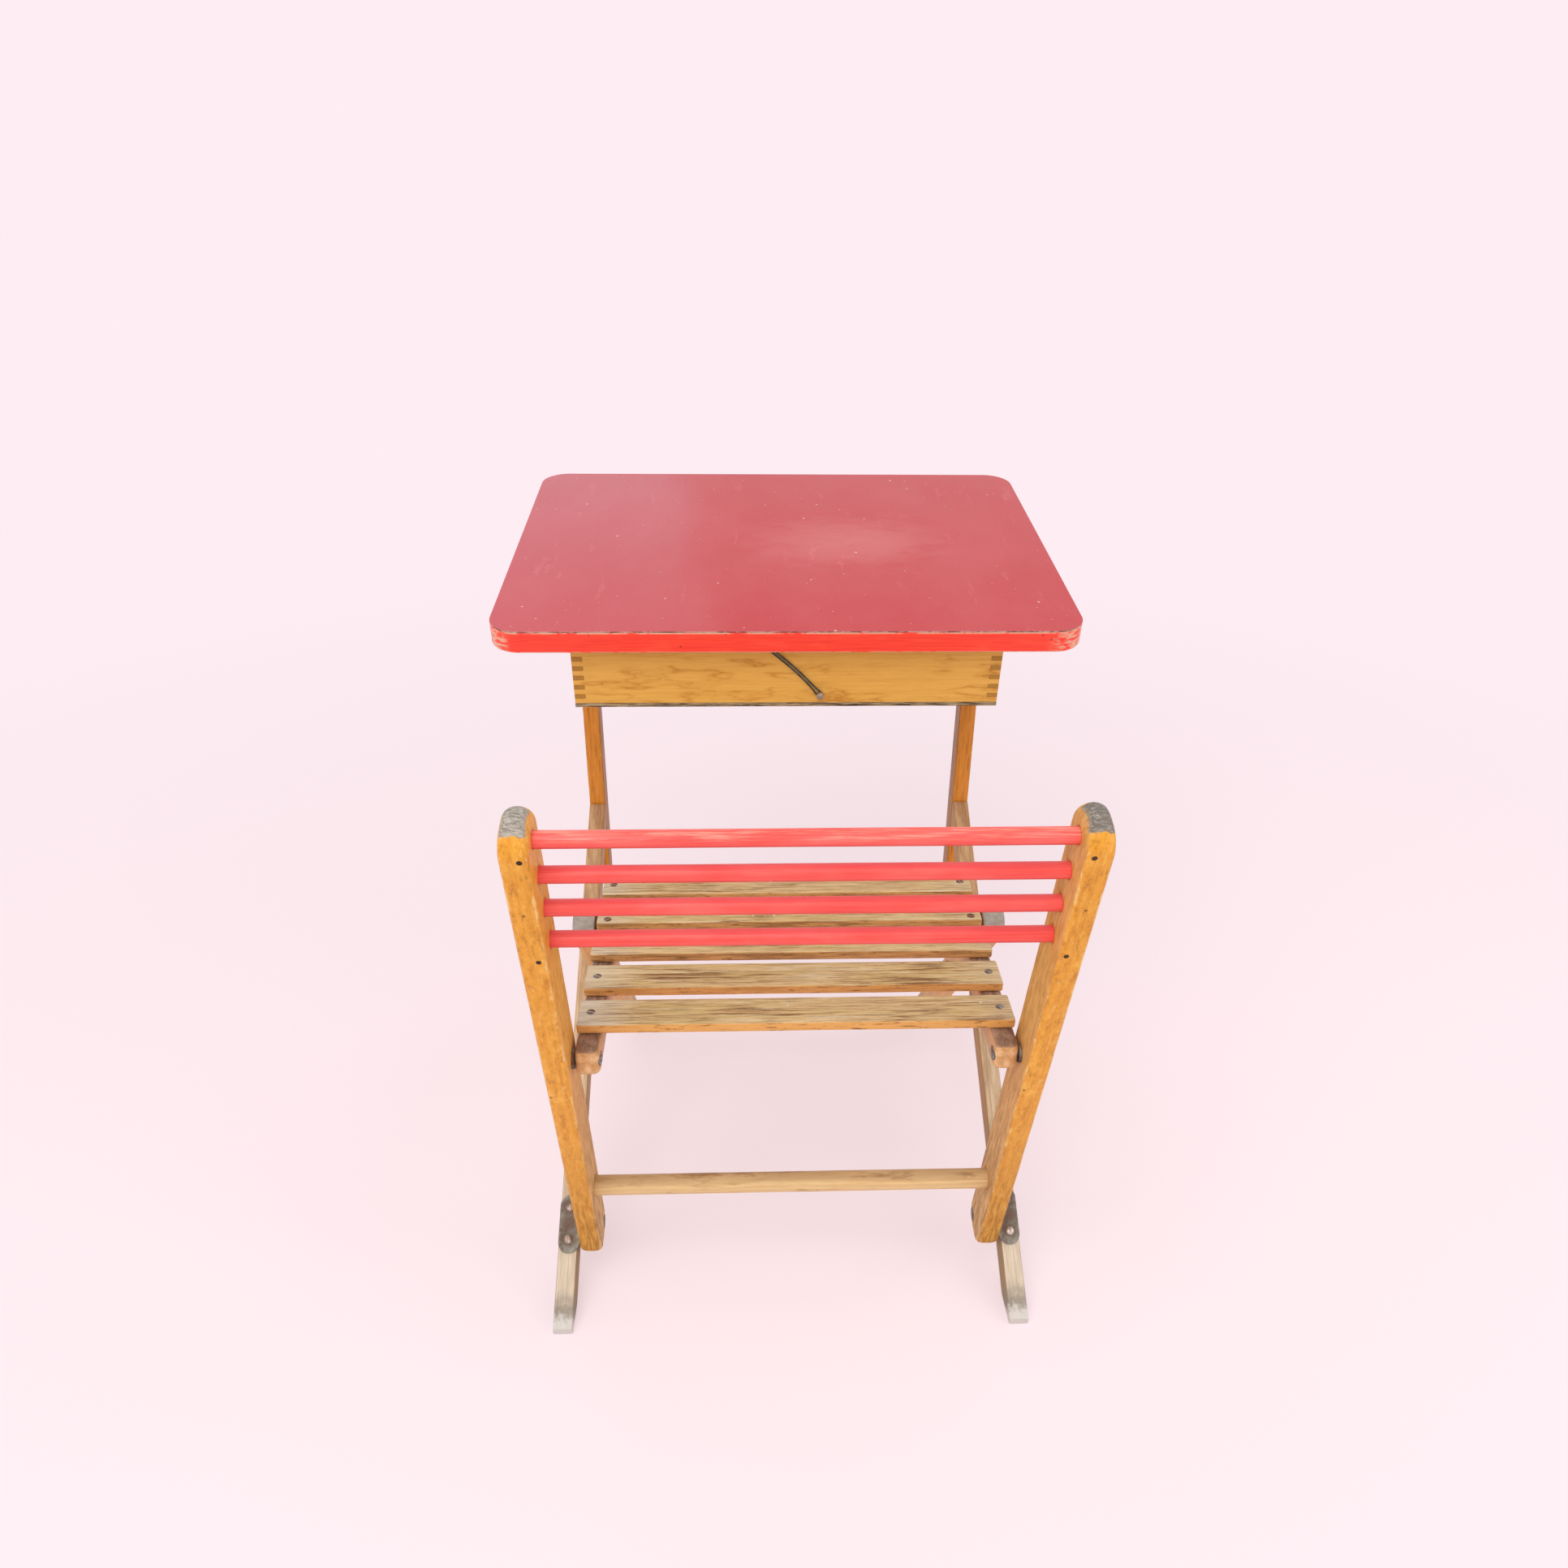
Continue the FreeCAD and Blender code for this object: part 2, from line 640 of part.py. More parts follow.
def slat_screw_head(name, side, i, radius):
    middle = "(rail_out - screw_inset)"
    x = middle if side > 0 else f"-{middle}"
    return pin(name, radius, "screw_head_thick", x, SCREW_PLACES[i], "seat_height - screw_head_thick", "0")


def seat_slats():
    """Five slats across the rails, screwed down at both ends."""
    screws = []
    for i in SLATS:
        name = f"seat_slat_{i + 1}"
        corners = [("-slat_half", "0"), ("slat_half", "0"), ("slat_half", "slat_thick"),
                   ("-slat_half", "slat_thick")]
        body = bar(name + "_bar", corners, None, "2 * rail_out", "-rail_out", SLAT_MIDS[i],
                   "seat_height - slat_thick")
        holes = []
        for side_name, side in SIDES.items():
            holes.append(slat_screw_pin(f"{name}_hole_{side_name}", side, i, "screw_radius + bolt_clearance"))
            holes.append(slat_screw_head(f"{name}_sink_{side_name}", side, i,
                                         "screw_head_radius + bolt_clearance"))
            shank = slat_screw_pin(f"slat_shank_{i}_{side_name}", side, i, "screw_radius")
            head = slat_screw_head(f"slat_head_{i}_{side_name}", side, i, "screw_head_radius")
            screws.append(fuse(f"slat_screw_{i}_{side_name}", [shank, head]))
        node(name, cut(name, body, holes))
    group("slat_screws", screws)


def pivot_hardware():
    """Every bolt, nut and washer, grouped by the body that holds it."""
    groups = {name: [] for name in ("back_pivot_bolts", "leg_pivot_bolts", "desk_pivot_bolts",
                                    "frame_nuts", "seat_pivot_bolts", "seat_pivot_nuts",
                                    "pivot_washers", "seat_front_bolts", "seat_front_nuts")}
    inside = "rail_in - running_gap - nut_thick"
    box_inside = "box_half - box_wall - running_gap - nut_thick"
    for side_name, side in SIDES.items():
        def add(kind, item_maker, *values):
            groups[kind].append(item_maker(f"{kind}_{len(groups[kind])}", side, *values))
        for kind, (y, z) in (("back_pivot_bolts", BACK_PIVOT), ("leg_pivot_bolts", LEG_PIVOT)):
            add(kind, bolt, y, z, "post_in + running_gap", "leg_out - running_gap / 2",
                "post_in + running_gap / 2")
            add("frame_nuts", nut, y, z, f"leg_out - ({NUT_SINK})")
        add("desk_pivot_bolts", bolt, *DESK_PIVOT, f"{box_inside} - bolt_end", "leg_out + head_thick / 2",
            "leg_out")
        add("frame_nuts", nut, *DESK_PIVOT, box_inside)
        add("seat_pivot_bolts", bolt, *SEAT_PIVOT, "rail_in - bolt_end", "post_out - head_thick / 2",
            "post_out - running_gap / 2 - head_thick")
        add("seat_pivot_nuts", nut, *SEAT_PIVOT, "rail_in")
        add("pivot_washers", washer, *SEAT_PIVOT, "rail_out + running_gap / 2", "post_in")
        add("seat_front_bolts", bolt, *FRONT_PIVOT, f"{inside} - bolt_end", "post_out - head_thick / 2",
            "post_out - running_gap / 2 - head_thick")
        add("seat_front_nuts", nut, *FRONT_PIVOT, inside)
    for name, items in groups.items():
        group(name, items)


def finger_cuts(name, first, x, y, length, width):
    """The notches at one end of a box wall, every second finger from the first one."""
    notches = []
    for i in range(first, FINGERS, 2):
        rise = f"wall_foot + {i} * finger"
        place_y, place_z = on_desk(y, rise)
        notches.append(block(f"{name}_{i}", length, width, "finger", x, place_y, place_z, "desk_slope"))
    return notches


def box_walls():
    """Four finger-jointed walls and a thin bottom nailed under them."""
    for name, along in (("box_front", "box_near"), ("box_back", "box_far - box_wall")):
        y, z = on_desk(along, "wall_foot")
        wall = block(name + "_board", "2 * box_half", "box_wall", "wall_height", "-box_half", y, z, "desk_slope")
        notches = []
        for side_name, x in (("left", f"-box_half - {CUT_MARGIN}"), ("right", "box_half - box_wall")):
            notches += finger_cuts(f"{name}_{side_name}", 1, x, f"{along} - {CUT_MARGIN}",
                                   f"box_wall + {CUT_MARGIN}", f"box_wall + 2 * {CUT_MARGIN}")
        node(name, cut(name, wall, notches))
    for side_name, side in SIDES.items():
        name = f"box_{side_name}"
        x = inner_x(side, "box_half - box_wall", "box_half")
        y, z = on_desk("box_near", "wall_foot")
        wall = block(name + "_board", "box_wall", "box_depth", "wall_height", x, y, z, "desk_slope")
        notches = []
        for end, along in (("near", f"box_near - {CUT_MARGIN}"), ("far", "box_far - box_wall")):
            notches += finger_cuts(f"{name}_{end}", 0, f"{x} - {CUT_MARGIN}", along,
                                   f"box_wall + 2 * {CUT_MARGIN}", f"box_wall + {CUT_MARGIN}")
        notches.append(bolt_hole(name + "_hole", side, *DESK_PIVOT, "box_half - box_wall", "box_half"))
        node(name, cut(name, wall, notches))
    y, z = on_desk("box_near", "wall_foot - bottom_thick")
    node("box_bottom", block("box_bottom", "2 * box_half", "box_depth", "bottom_thick",
                             "-box_half", y, z, "desk_slope"))


def desk_stop(side_name, side):
    """A block on the side of the box that bears on the front of the upright."""
    name = f"desk_stop_{side_name}"
    x = "box_half" if side > 0 else "-box_half - stop_thick"
    node(name, block(name, "stop_thick", "stop_length", "stop_height", x,
                     "desk_y + upright_half + running_gap", "desk_pivot_height + stop_rise"))


def rounded_board(name, thick, above):
    """A board of the desk top's plan, with round corners."""
    body = doc.addObject("PartDesign::Body", name)
    corners = [("-top_half", "top_near"), ("top_half", "top_near"), ("top_half", "top_far"),
               ("-top_half", "top_far")]
    feature = pad(body, outline(body, "XY_Plane", corners), thick)
    upright_edges = [f"Edge{i}" for i, edge in enumerate(feature.Shape.Edges, start=1)
                     if abs(edge.tangentAt(edge.FirstParameter).z) > 0.99]
    feature = soften(body, feature, "top_corner", upright_edges)
    y, z = on_desk("0", above)
    place(body, "0", y, z, "desk_slope")
    return body, feature


def desk_top():
    """The board with its softened edge, and the hard sheet glued on it."""
    body, feature = rounded_board("top_board", "top_thick", "top_under")
    soften(body, feature, "panel_round")
    node("top_panel", body)
    node("top_laminate", rounded_board("top_sheet", "laminate_thick", "top_under + top_thick")[0])


def hinges():
    """Two knuckle hinges at the far edge: a leaf on the box, a leaf on the lid and a pin."""
    box_leaves = []
    lid_leaves = []
    pins = []
    pivot = on_desk("hinge_y", "hinge_z")
    for side_name, side in SIDES.items():
        name = f"hinge_{side_name}"
        low = f"{side} * hinge_spacing / 2 - hinge_width / 2"
        first = f"{low} + hinge_third"
        second = f"{low} + 2 * hinge_third"
        high = f"{low} + hinge_width"
        hole = rod(name + "_hole", "hinge_pin_radius + bolt_clearance", f"{low} - {CUT_MARGIN}",
                   f"{high} + {CUT_MARGIN}", 1, *pivot)
        pins.append(rod(name + "_pin", "hinge_pin_radius", low, high, 1, *pivot))
        y, z = on_desk("box_far", "hinge_z - knuckle_clear - hinge_leaf_drop")
        parts = [block(name + "_box_leaf", "hinge_width", "hinge_leaf", "hinge_leaf_drop", low, y, z,
                       "desk_slope")]
        for end, start, stop in (("a", low, f"{first} - running_gap"), ("b", f"{second} + running_gap", high)):
            y, z = on_desk("box_far", f"hinge_z - knuckle_clear - {CUT_MARGIN}")
            parts.append(block(f"{name}_tab_{end}", f"({stop}) - ({start})", "hinge_leaf",
                               f"knuckle_clear + {CUT_MARGIN}", start, y, z, "desk_slope"))
            parts.append(rod(f"{name}_knuckle_{end}", "knuckle_radius", start, stop, 1, *pivot))
        box_leaves.append(cut(name + "_box", fuse(name + "_box_blank", parts), [hole]))
        y, z = on_desk("hinge_y + knuckle_clear", "top_under - hinge_leaf")
        plate = block(name + "_lid_leaf", "hinge_width", "hinge_leaf_run - knuckle_clear", "hinge_leaf",
                      low, y, z, "desk_slope")
        y, z = on_desk("hinge_y", "top_under - hinge_leaf")
        tab = block(name + "_lid_tab", "hinge_third", f"knuckle_clear + {CUT_MARGIN}", "hinge_leaf",
                    first, y, z, "desk_slope")
        knuckle = rod(name + "_lid_knuckle", "knuckle_radius", first, second, 1, *pivot)
        lid_leaves.append(cut(name + "_lid", fuse(name + "_lid_blank", [plate, tab, knuckle]), [hole]))
    group("box_hinge_leaves", box_leaves)
    group("lid_hinge_leaves", lid_leaves)
    group("hinge_pins", pins)


def wire_hook():
    """A closed loop of wire round a screw, leaning to the left under the desk's near edge."""
    bend = size("hook_loop_radius")
    wire = size("hook_wire")
    length = size("hook_length")
    face = FreeCAD.Vector(0, 1, 0)
    up = FreeCAD.Vector(0, 0, 1)
    bends = []
    for centre, turn in ((up * 0, 180), (up * length, -180)):
        ring = Part.Edge(Part.Circle(centre + X_AXIS * bend, up, wire))
        bends.append(Part.Face(Part.Wire(ring)).revolve(centre, face, turn))
    legs = [Part.makeCylinder(wire, length, X_AXIS * step * bend, up) for step in (-1, 1)]
    hook = doc.addObject("Part::Feature", "lid_hook")
    hook.Shape = legs[0].fuse([legs[1]] + bends)
    slope = size("desk_slope")
    turn = FreeCAD.Rotation(X_AXIS, slope).multiply(FreeCAD.Rotation(face, -size("hook_lean")))
    along = size("box_near") - wire - size("running_gap")
    above = size("pivot_drop") - size("box_height") + size("hook_rise")
    lean = math.radians(slope)
    base = FreeCAD.Vector(size("hook_x"),
                          size("desk_y") + along * math.cos(lean) - above * math.sin(lean),
                          size("desk_pivot_height") + along * math.sin(lean) + above * math.cos(lean))
    hook.Placement = FreeCAD.Placement(base, turn)
    node("lid_hook", hook)


HOOK_ABOVE = "pivot_drop - box_height + hook_rise"


def hook_screw_shank(name, radius):
    y, z = on_desk("box_near - 2 * hook_wire - 2 * running_gap", HOOK_ABOVE)
    return pin(name, radius, "hook_screw_length + 2 * hook_wire", "hook_x", y, z, "desk_slope - 90")


def hook_screw():
    """A round-headed screw through the hook's loop into the front wall."""
    shank = hook_screw_shank("hook_shank", "hook_screw_radius")
    y, z = on_desk("box_near - 4 * hook_wire - 2 * running_gap", HOOK_ABOVE)
    head = pin("hook_head", "hook_screw_head", "2 * hook_wire", "hook_x", y, z, "desk_slope - 90")
    node("hook_screw", fuse("hook_screw", [shank, head]))
    front = NODES["box_front"]
    hole = hook_screw_shank("hook_screw_hole", "hook_screw_radius + bolt_clearance")
    node("box_front", cut("box_front_bored", front, [hole]))


def build():
    for side_name, side in SIDES.items():
        rear_leg(side_name, side)
        upright(side_name, side)
        pivot_plate(side_name, side)
        front_leg(side_name, side)
        back_post(side_name, side)
        seat_rail(side_name, side)
        desk_stop(side_name, side)
    plate_screws()
    front_stretcher()
    back_bars()
    seat_slats()
    pivot_hardware()
    box_walls()
    desk_top()
    hinges()
    wire_hook()
    hook_screw()
    doc.recompute()


def check():
    """Stop if any object failed or any piece is not a valid solid."""
    for item in doc.Objects:
        if "Invalid" in item.State or "Error" in item.State:
            raise RuntimeError(f"{item.Name} failed: {item.State}")
    for name, item in NODES.items():
        shape = item.Shape
        if shape.isNull() or not shape.isValid() or not shape.Solids:
            raise RuntimeError(f"{name} is not a valid solid")


def write():
    os.makedirs("parts", exist_ok=True)
    whole = FreeCAD.BoundBox()
    for name, item in NODES.items():
        item.Shape.exportStep(f"parts/{name}.step")
        whole.add(item.Shape.BoundBox)
    print(len(NODES), "pieces", "X", round(whole.XMin, 2), round(whole.XMax, 2),
          "Y", round(whole.YMin, 2), round(whole.YMax, 2), "Z", round(whole.ZMin, 2), round(whole.ZMax, 2))


build()
check()
write()
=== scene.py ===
# %% [markdown]
# # A folding school desk with its seat
# The solid model comes first, as a frame that nothing here may move or reshape.
# Everything below dresses that frame: new meshes stand in for the pieces whose worn shape
# matters, and every piece gets a finish made of nodes.

# %% Load the frame
import json
import math

import bmesh
import bpy
from mathutils import Matrix, Vector


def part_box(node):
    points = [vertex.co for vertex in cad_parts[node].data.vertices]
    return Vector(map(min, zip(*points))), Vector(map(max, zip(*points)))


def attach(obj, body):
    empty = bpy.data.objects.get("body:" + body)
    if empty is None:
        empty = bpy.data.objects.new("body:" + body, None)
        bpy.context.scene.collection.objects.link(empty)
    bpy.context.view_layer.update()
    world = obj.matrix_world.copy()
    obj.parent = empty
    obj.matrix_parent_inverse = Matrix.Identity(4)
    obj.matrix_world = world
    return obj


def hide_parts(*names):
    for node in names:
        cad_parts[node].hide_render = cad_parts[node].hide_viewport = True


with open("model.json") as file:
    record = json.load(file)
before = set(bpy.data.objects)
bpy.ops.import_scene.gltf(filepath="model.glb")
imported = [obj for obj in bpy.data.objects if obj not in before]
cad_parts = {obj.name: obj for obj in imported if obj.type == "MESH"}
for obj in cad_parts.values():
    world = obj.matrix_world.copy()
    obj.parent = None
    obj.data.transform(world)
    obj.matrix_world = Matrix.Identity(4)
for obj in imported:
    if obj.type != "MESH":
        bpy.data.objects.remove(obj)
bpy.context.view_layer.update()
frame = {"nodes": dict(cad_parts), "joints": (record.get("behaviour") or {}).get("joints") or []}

NODES = frame["nodes"]
PIVOT = {joint["name"]: Vector(joint["pos_m"]) for joint in frame["joints"]}
MM = 0.001
scene = bpy.context.scene
scene.view_settings.view_transform = "Standard"


def put(name, data):
    """A new object of the scene."""
    item = bpy.data.objects.new(name, data)
    scene.collection.objects.link(item)
    return item


# %% [markdown]
# ## The camera
# The photograph was taken from behind the seat by a standing adult, with a wide lens that looks
# down on the top. A camera could be set by eye, but here its place was worked out from the level
# seat and the plumb uprights, so the picture's own pixels give the focal length.

# %% Camera
PHOTO_PIXELS = 1932
FOCAL_PIXELS = 1418
SENSOR = 36.0
EYE_PLACE = (-0.0410, -0.9809, 0.9158)
LOOK_DOWN = 27.24
LOOK_RIGHT = 2.26
ROLL = 0.68

eye = bpy.data.cameras.new("eye")
eye.sensor_width = SENSOR
eye.lens = SENSOR * FOCAL_PIXELS / PHOTO_PIXELS
camera = put("eye", eye)
camera.location = EYE_PLACE
pitch = Matrix.Rotation(math.radians(90 - LOOK_DOWN), 3, "X")
roll = Matrix.Rotation(math.radians(ROLL), 3, "Z")
heading = Matrix.Rotation(math.radians(-LOOK_RIGHT), 3, "Z")
camera.rotation_euler = (heading @ (pitch @ roll)).to_euler()
scene.camera = camera
print("lens", round(eye.lens, 2), "mm")

# %% [markdown]
# ## A workbench for nodes
# Finishes and shape rules are both node trees. Wiring each link by hand makes long scripts, so this
# small class adds a node, feeds its inputs and hands back what comes out of it. Sums and products
# have short names of their own, because finishes use them most.

# %% Node helpers
class Bench:
    """A workbench for one node tree: each call adds a node and hands back its output."""

    def __init__(self, tree):
        self.tree = tree

    def feed(self, socket, value):
        """Link another node's output to an input, or set the input's own value."""
        if isinstance(value, bpy.types.NodeSocket):
            self.tree.links.new(value, socket)
        else:
            socket.default_value = value

    def node(self, kind, settings=None, feeds=None):
        """Add a node, set its options and feed its inputs."""
        made = self.tree.nodes.new(kind)
        for key, value in (settings or {}).items():
            setattr(made, key, value)
        for key, value in (feeds or {}).items():
            self.feed(made.inputs[key], value)
        return made

    def out(self, kind, feeds=None, settings=None):
        """Add a node and hand back its first output."""
        return self.node(kind, settings, feeds).outputs[0]

    def math(self, operation, *values):
        return self.out("ShaderNodeMath", dict(enumerate(values)), {"operation": operation})

    def times(self, first, second):
        return self.math("MULTIPLY", first, second)

    def plus(self, first, second):
        return self.math("ADD", first, second)

    def minus(self, first, second):
        return self.math("SUBTRACT", first, second)

    def vector(self, operation, *values):
        made = self.node("ShaderNodeVectorMath", {"operation": operation}, dict(enumerate(values)))
        number = operation in ("LENGTH", "DOT_PRODUCT")
        return made.outputs["Value" if number else "Vector"]

    def scaled(self, vector, factor):
        return self.out("ShaderNodeVectorMath", {0: vector, 3: factor}, {"operation": "SCALE"})

    def point(self, x=0.0, y=0.0, z=0.0):
        return self.out("ShaderNodeCombineXYZ", {0: x, 1: y, 2: z})

    def parts(self, vector):
        return self.node("ShaderNodeSeparateXYZ", None, {0: vector}).outputs

    def noise(self, place, stretch, detail=3.0, roughness=0.55, out="Fac"):
        """Cloudy noise; a small stretch along an axis draws it out that way."""
        spread = self.vector("MULTIPLY", place, stretch)
        feeds = {"Vector": spread, "Scale": 1.0, "Detail": detail, "Roughness": roughness}
        return self.node("ShaderNodeTexNoise", None, feeds).outputs[out]

    def between(self, value, low, high, start=0.0, stop=1.0):
        """A soft step: start below low, stop above high."""
        feeds = {0: value, 1: low, 2: high, 3: start, 4: stop}
        return self.out("ShaderNodeMapRange", feeds, {"interpolation_type": "SMOOTHSTEP"})

    def blend(self, share, first, second):
        """Mix two colours."""
        feeds = {0: share, 6: first, 7: second}
        return self.node("ShaderNodeMix", {"data_type": "RGBA"}, feeds).outputs[2]

    def use(self, group, feeds):
        """Place a shared group and hand back its outputs by name."""
        kind = "ShaderNodeGroup" if group.bl_idname == "ShaderNodeTree" else "GeometryNodeGroup"
        return self.node(kind, {"node_tree": group}, feeds).outputs


SOCKETS = {"float": "NodeSocketFloat", "vector": "NodeSocketVector", "int": "NodeSocketInt",
           "geometry": "NodeSocketGeometry", "material": "NodeSocketMaterial",
           "object": "NodeSocketObject"}


def new_group(name, kind, inputs, outputs):
    """A node group with named sockets, its bench, and what comes in and goes out."""
    tree = bpy.data.node_groups.new(name, kind)
    for title, sort in inputs.items():
        tree.interface.new_socket(name=title, in_out="INPUT", socket_type=SOCKETS[sort])
    for title, sort in outputs.items():
        tree.interface.new_socket(name=title, in_out="OUTPUT", socket_type=SOCKETS[sort])
    bench = Bench(tree)
    source = bench.node("NodeGroupInput")
    sink = bench.node("NodeGroupOutput")
    return tree, bench, source.outputs, sink.inputs


print("bench ready, sockets", ", ".join(SOCKETS))

# %% [markdown]
# ## Wood as a solid
# A board is cut from a round trunk, so its rings run through the whole of it. A picture of wood
# could be laid on each face, but the faces would not agree at the edges. Here the figure is worked
# out from the piece's own place in millimetres, with the grain along Z: rings around an axis that
# wobbles, long fibres, short dark pores and slow blotches.

# %% Wood figure
WOOD, bench, given, result = new_group(
    "wood figure", "ShaderNodeTree",
    {"Place": "vector", "Shift": "vector", "Ring": "float", "Wobble": "float"},
    {"Ring": "float", "Fibre": "float", "Pores": "float", "Blotch": "float"})
moved = bench.vector("ADD", given["Place"], given["Shift"])
slow = bench.noise(moved, (0.021, 0.021, 0.0042), 2.0, out="Color")
swing = bench.scaled(bench.vector("SUBTRACT", slow, (0.5, 0.5, 0.5)), given["Wobble"])
bent = bench.vector("MULTIPLY", bench.vector("ADD", moved, swing), (1, 1, 0))
turns = bench.math("DIVIDE", bench.vector("LENGTH", bent), given["Ring"])
turns = bench.plus(turns, bench.noise(moved, (0.06, 0.06, 0.012), 2.0))
saw = bench.math("FRACT", turns)
late = bench.times(bench.between(saw, 0.25, 0.88), bench.between(saw, 0.9, 1.0, 1.0, 0.0))
bench.feed(result["Ring"], late)
bench.feed(result["Fibre"], bench.noise(moved, (0.85, 0.85, 0.011), 4.0, 0.65))
bench.feed(result["Pores"], bench.between(bench.noise(moved, (1.7, 1.7, 0.045), 2.0), 0.58, 0.7))
bench.feed(result["Blotch"], bench.noise(moved, (0.034, 0.034, 0.014), 4.0, 0.6))
print(WOOD.name, len(WOOD.nodes), "nodes")

# %% [markdown]
# ## Wear that several finishes share
# Varnish and paint rub off first along the edges of a board. The edge group tells how far a point
# is from the nearest edge, and the wear group turns that into ragged bare patches. Specks are the
# small chips, dust and flecks: some cells of a cell pattern, each with a dot of its own size.

# %% Edge distance, wear and specks
EDGES, bench, given, result = new_group(
    "board edges", "ShaderNodeTree", {"Place": "vector", "Half": "vector"}, {"Edge": "float"})
room = bench.parts(bench.vector("SUBTRACT", given["Half"], bench.vector("ABSOLUTE", given["Place"])))
low_pair = bench.math("MINIMUM", room[0], room[1])
high_pair = bench.math("MAXIMUM", room[0], room[1])
bench.feed(result["Edge"], bench.math("MAXIMUM", low_pair, bench.math("MINIMUM", high_pair, room[2])))

WEAR, bench, given, result = new_group(
    "edge wear", "ShaderNodeTree",
    {"Edge": "float", "Place": "vector", "Width": "float", "Amount": "float"}, {"Mask": "float"})
near = bench.minus(1.0, bench.math("DIVIDE", given["Edge"], given["Width"]))
patch = bench.noise(given["Place"], (0.16, 0.16, 0.05), 5.0, 0.7)
rubbed = bench.plus(near, bench.times(bench.minus(patch, 0.5), 2.4))
limit = bench.minus(1.3, given["Amount"])
bench.feed(result["Mask"], bench.between(bench.minus(rubbed, limit), 0.0, 0.25))

SPECKS, bench, given, result = new_group(
    "specks", "ShaderNodeTree",
    {"Place": "vector", "Spacing": "float", "Share": "float"}, {"Mask": "float"})
spacing = bench.point(given["Spacing"], given["Spacing"], given["Spacing"])
cells = bench.vector("DIVIDE", given["Place"], spacing)
dots = bench.node("ShaderNodeTexVoronoi", None, {"Vector": cells, "Scale": 1.0}).outputs
chance = bench.node("ShaderNodeSeparateColor", None, {0: dots["Color"]}).outputs
kept = bench.math("LESS_THAN", chance[0], given["Share"])
dot_size = bench.times(chance[1], 0.22)
dot = bench.between(bench.minus(dot_size, dots["Distance"]), 0.0, 0.05)
bench.feed(result["Mask"], bench.times(kept, dot))
print("groups", EDGES.name, WEAR.name, SPECKS.name)

# %% [markdown]
# ## Starting a finish
# Each finish reads Object coordinates, because every piece keeps its place in its mesh. A mapping
# turns them into the piece's own frame, in millimetres from a point of the piece, so that a stain
# or a worn end stays where it belongs when the desk folds. Colours are written as they look on a
# screen and turned into the linear values that nodes expect.

# %% Finish helpers
def tint(red, green, blue):
    """A screen colour from 0 to 255 as a linear colour."""
    def linear(value):
        share = value / 255
        return share / 12.92 if share <= 0.04045 else ((share + 0.055) / 1.055) ** 2.4
    return linear(red), linear(green), linear(blue), 1.0


def turned(x=0.0, y=0.0, z=0.0):
    """A turn about the three axes, from degrees."""
    return math.radians(x), math.radians(y), math.radians(z)


class Finish(Bench):
    """A material with one principled shader, and the piece's own frame to paint in."""

    def __init__(self, name, centre=(0, 0, 0), turn=(0, 0, 0)):
        self.material = bpy.data.materials.new(name)
        self.material.use_nodes = True
        super().__init__(self.material.node_tree)
        self.tree.nodes.clear()
        self.shader = self.node("ShaderNodeBsdfPrincipled")
        self.node("ShaderNodeOutputMaterial", None, {0: self.shader.outputs[0]})
        self.coords = self.node("ShaderNodeTexCoord").outputs
        feeds = {"Vector": self.coords["Object"], "Location": centre, "Rotation": turn,
                 "Scale": (MM, MM, MM)}
        self.place = self.out("ShaderNodeMapping", feeds, {"vector_type": "TEXTURE"})
        self.axes = self.parts(self.place)

    def facing(self, direction):
        """How squarely the surface faces a direction of the unfolded desk."""
        return self.vector("DOT_PRODUCT", self.coords["Normal"], direction)

    def specks(self, place, spacing, share):
        """Dots about a spacing apart, in a share of their cells."""
        return self.use(SPECKS, {"Place": place, "Spacing": spacing, "Share": share})["Mask"]

    def close(self, colour, roughness, height, depth, **others):
        """Feed the shader: colour, roughness and relief, and other inputs by their names."""
        self.feed(self.shader.inputs["Base Color"], colour)
        self.feed(self.shader.inputs["Roughness"], roughness)
        feeds = {"Height": height, "Distance": depth * MM, "Strength": 0.6}
        self.feed(self.shader.inputs["Normal"], self.out("ShaderNodeBump", feeds))
        for key, value in others.items():
            self.feed(self.shader.inputs[key.replace("_", " ")], value)
        return self.material


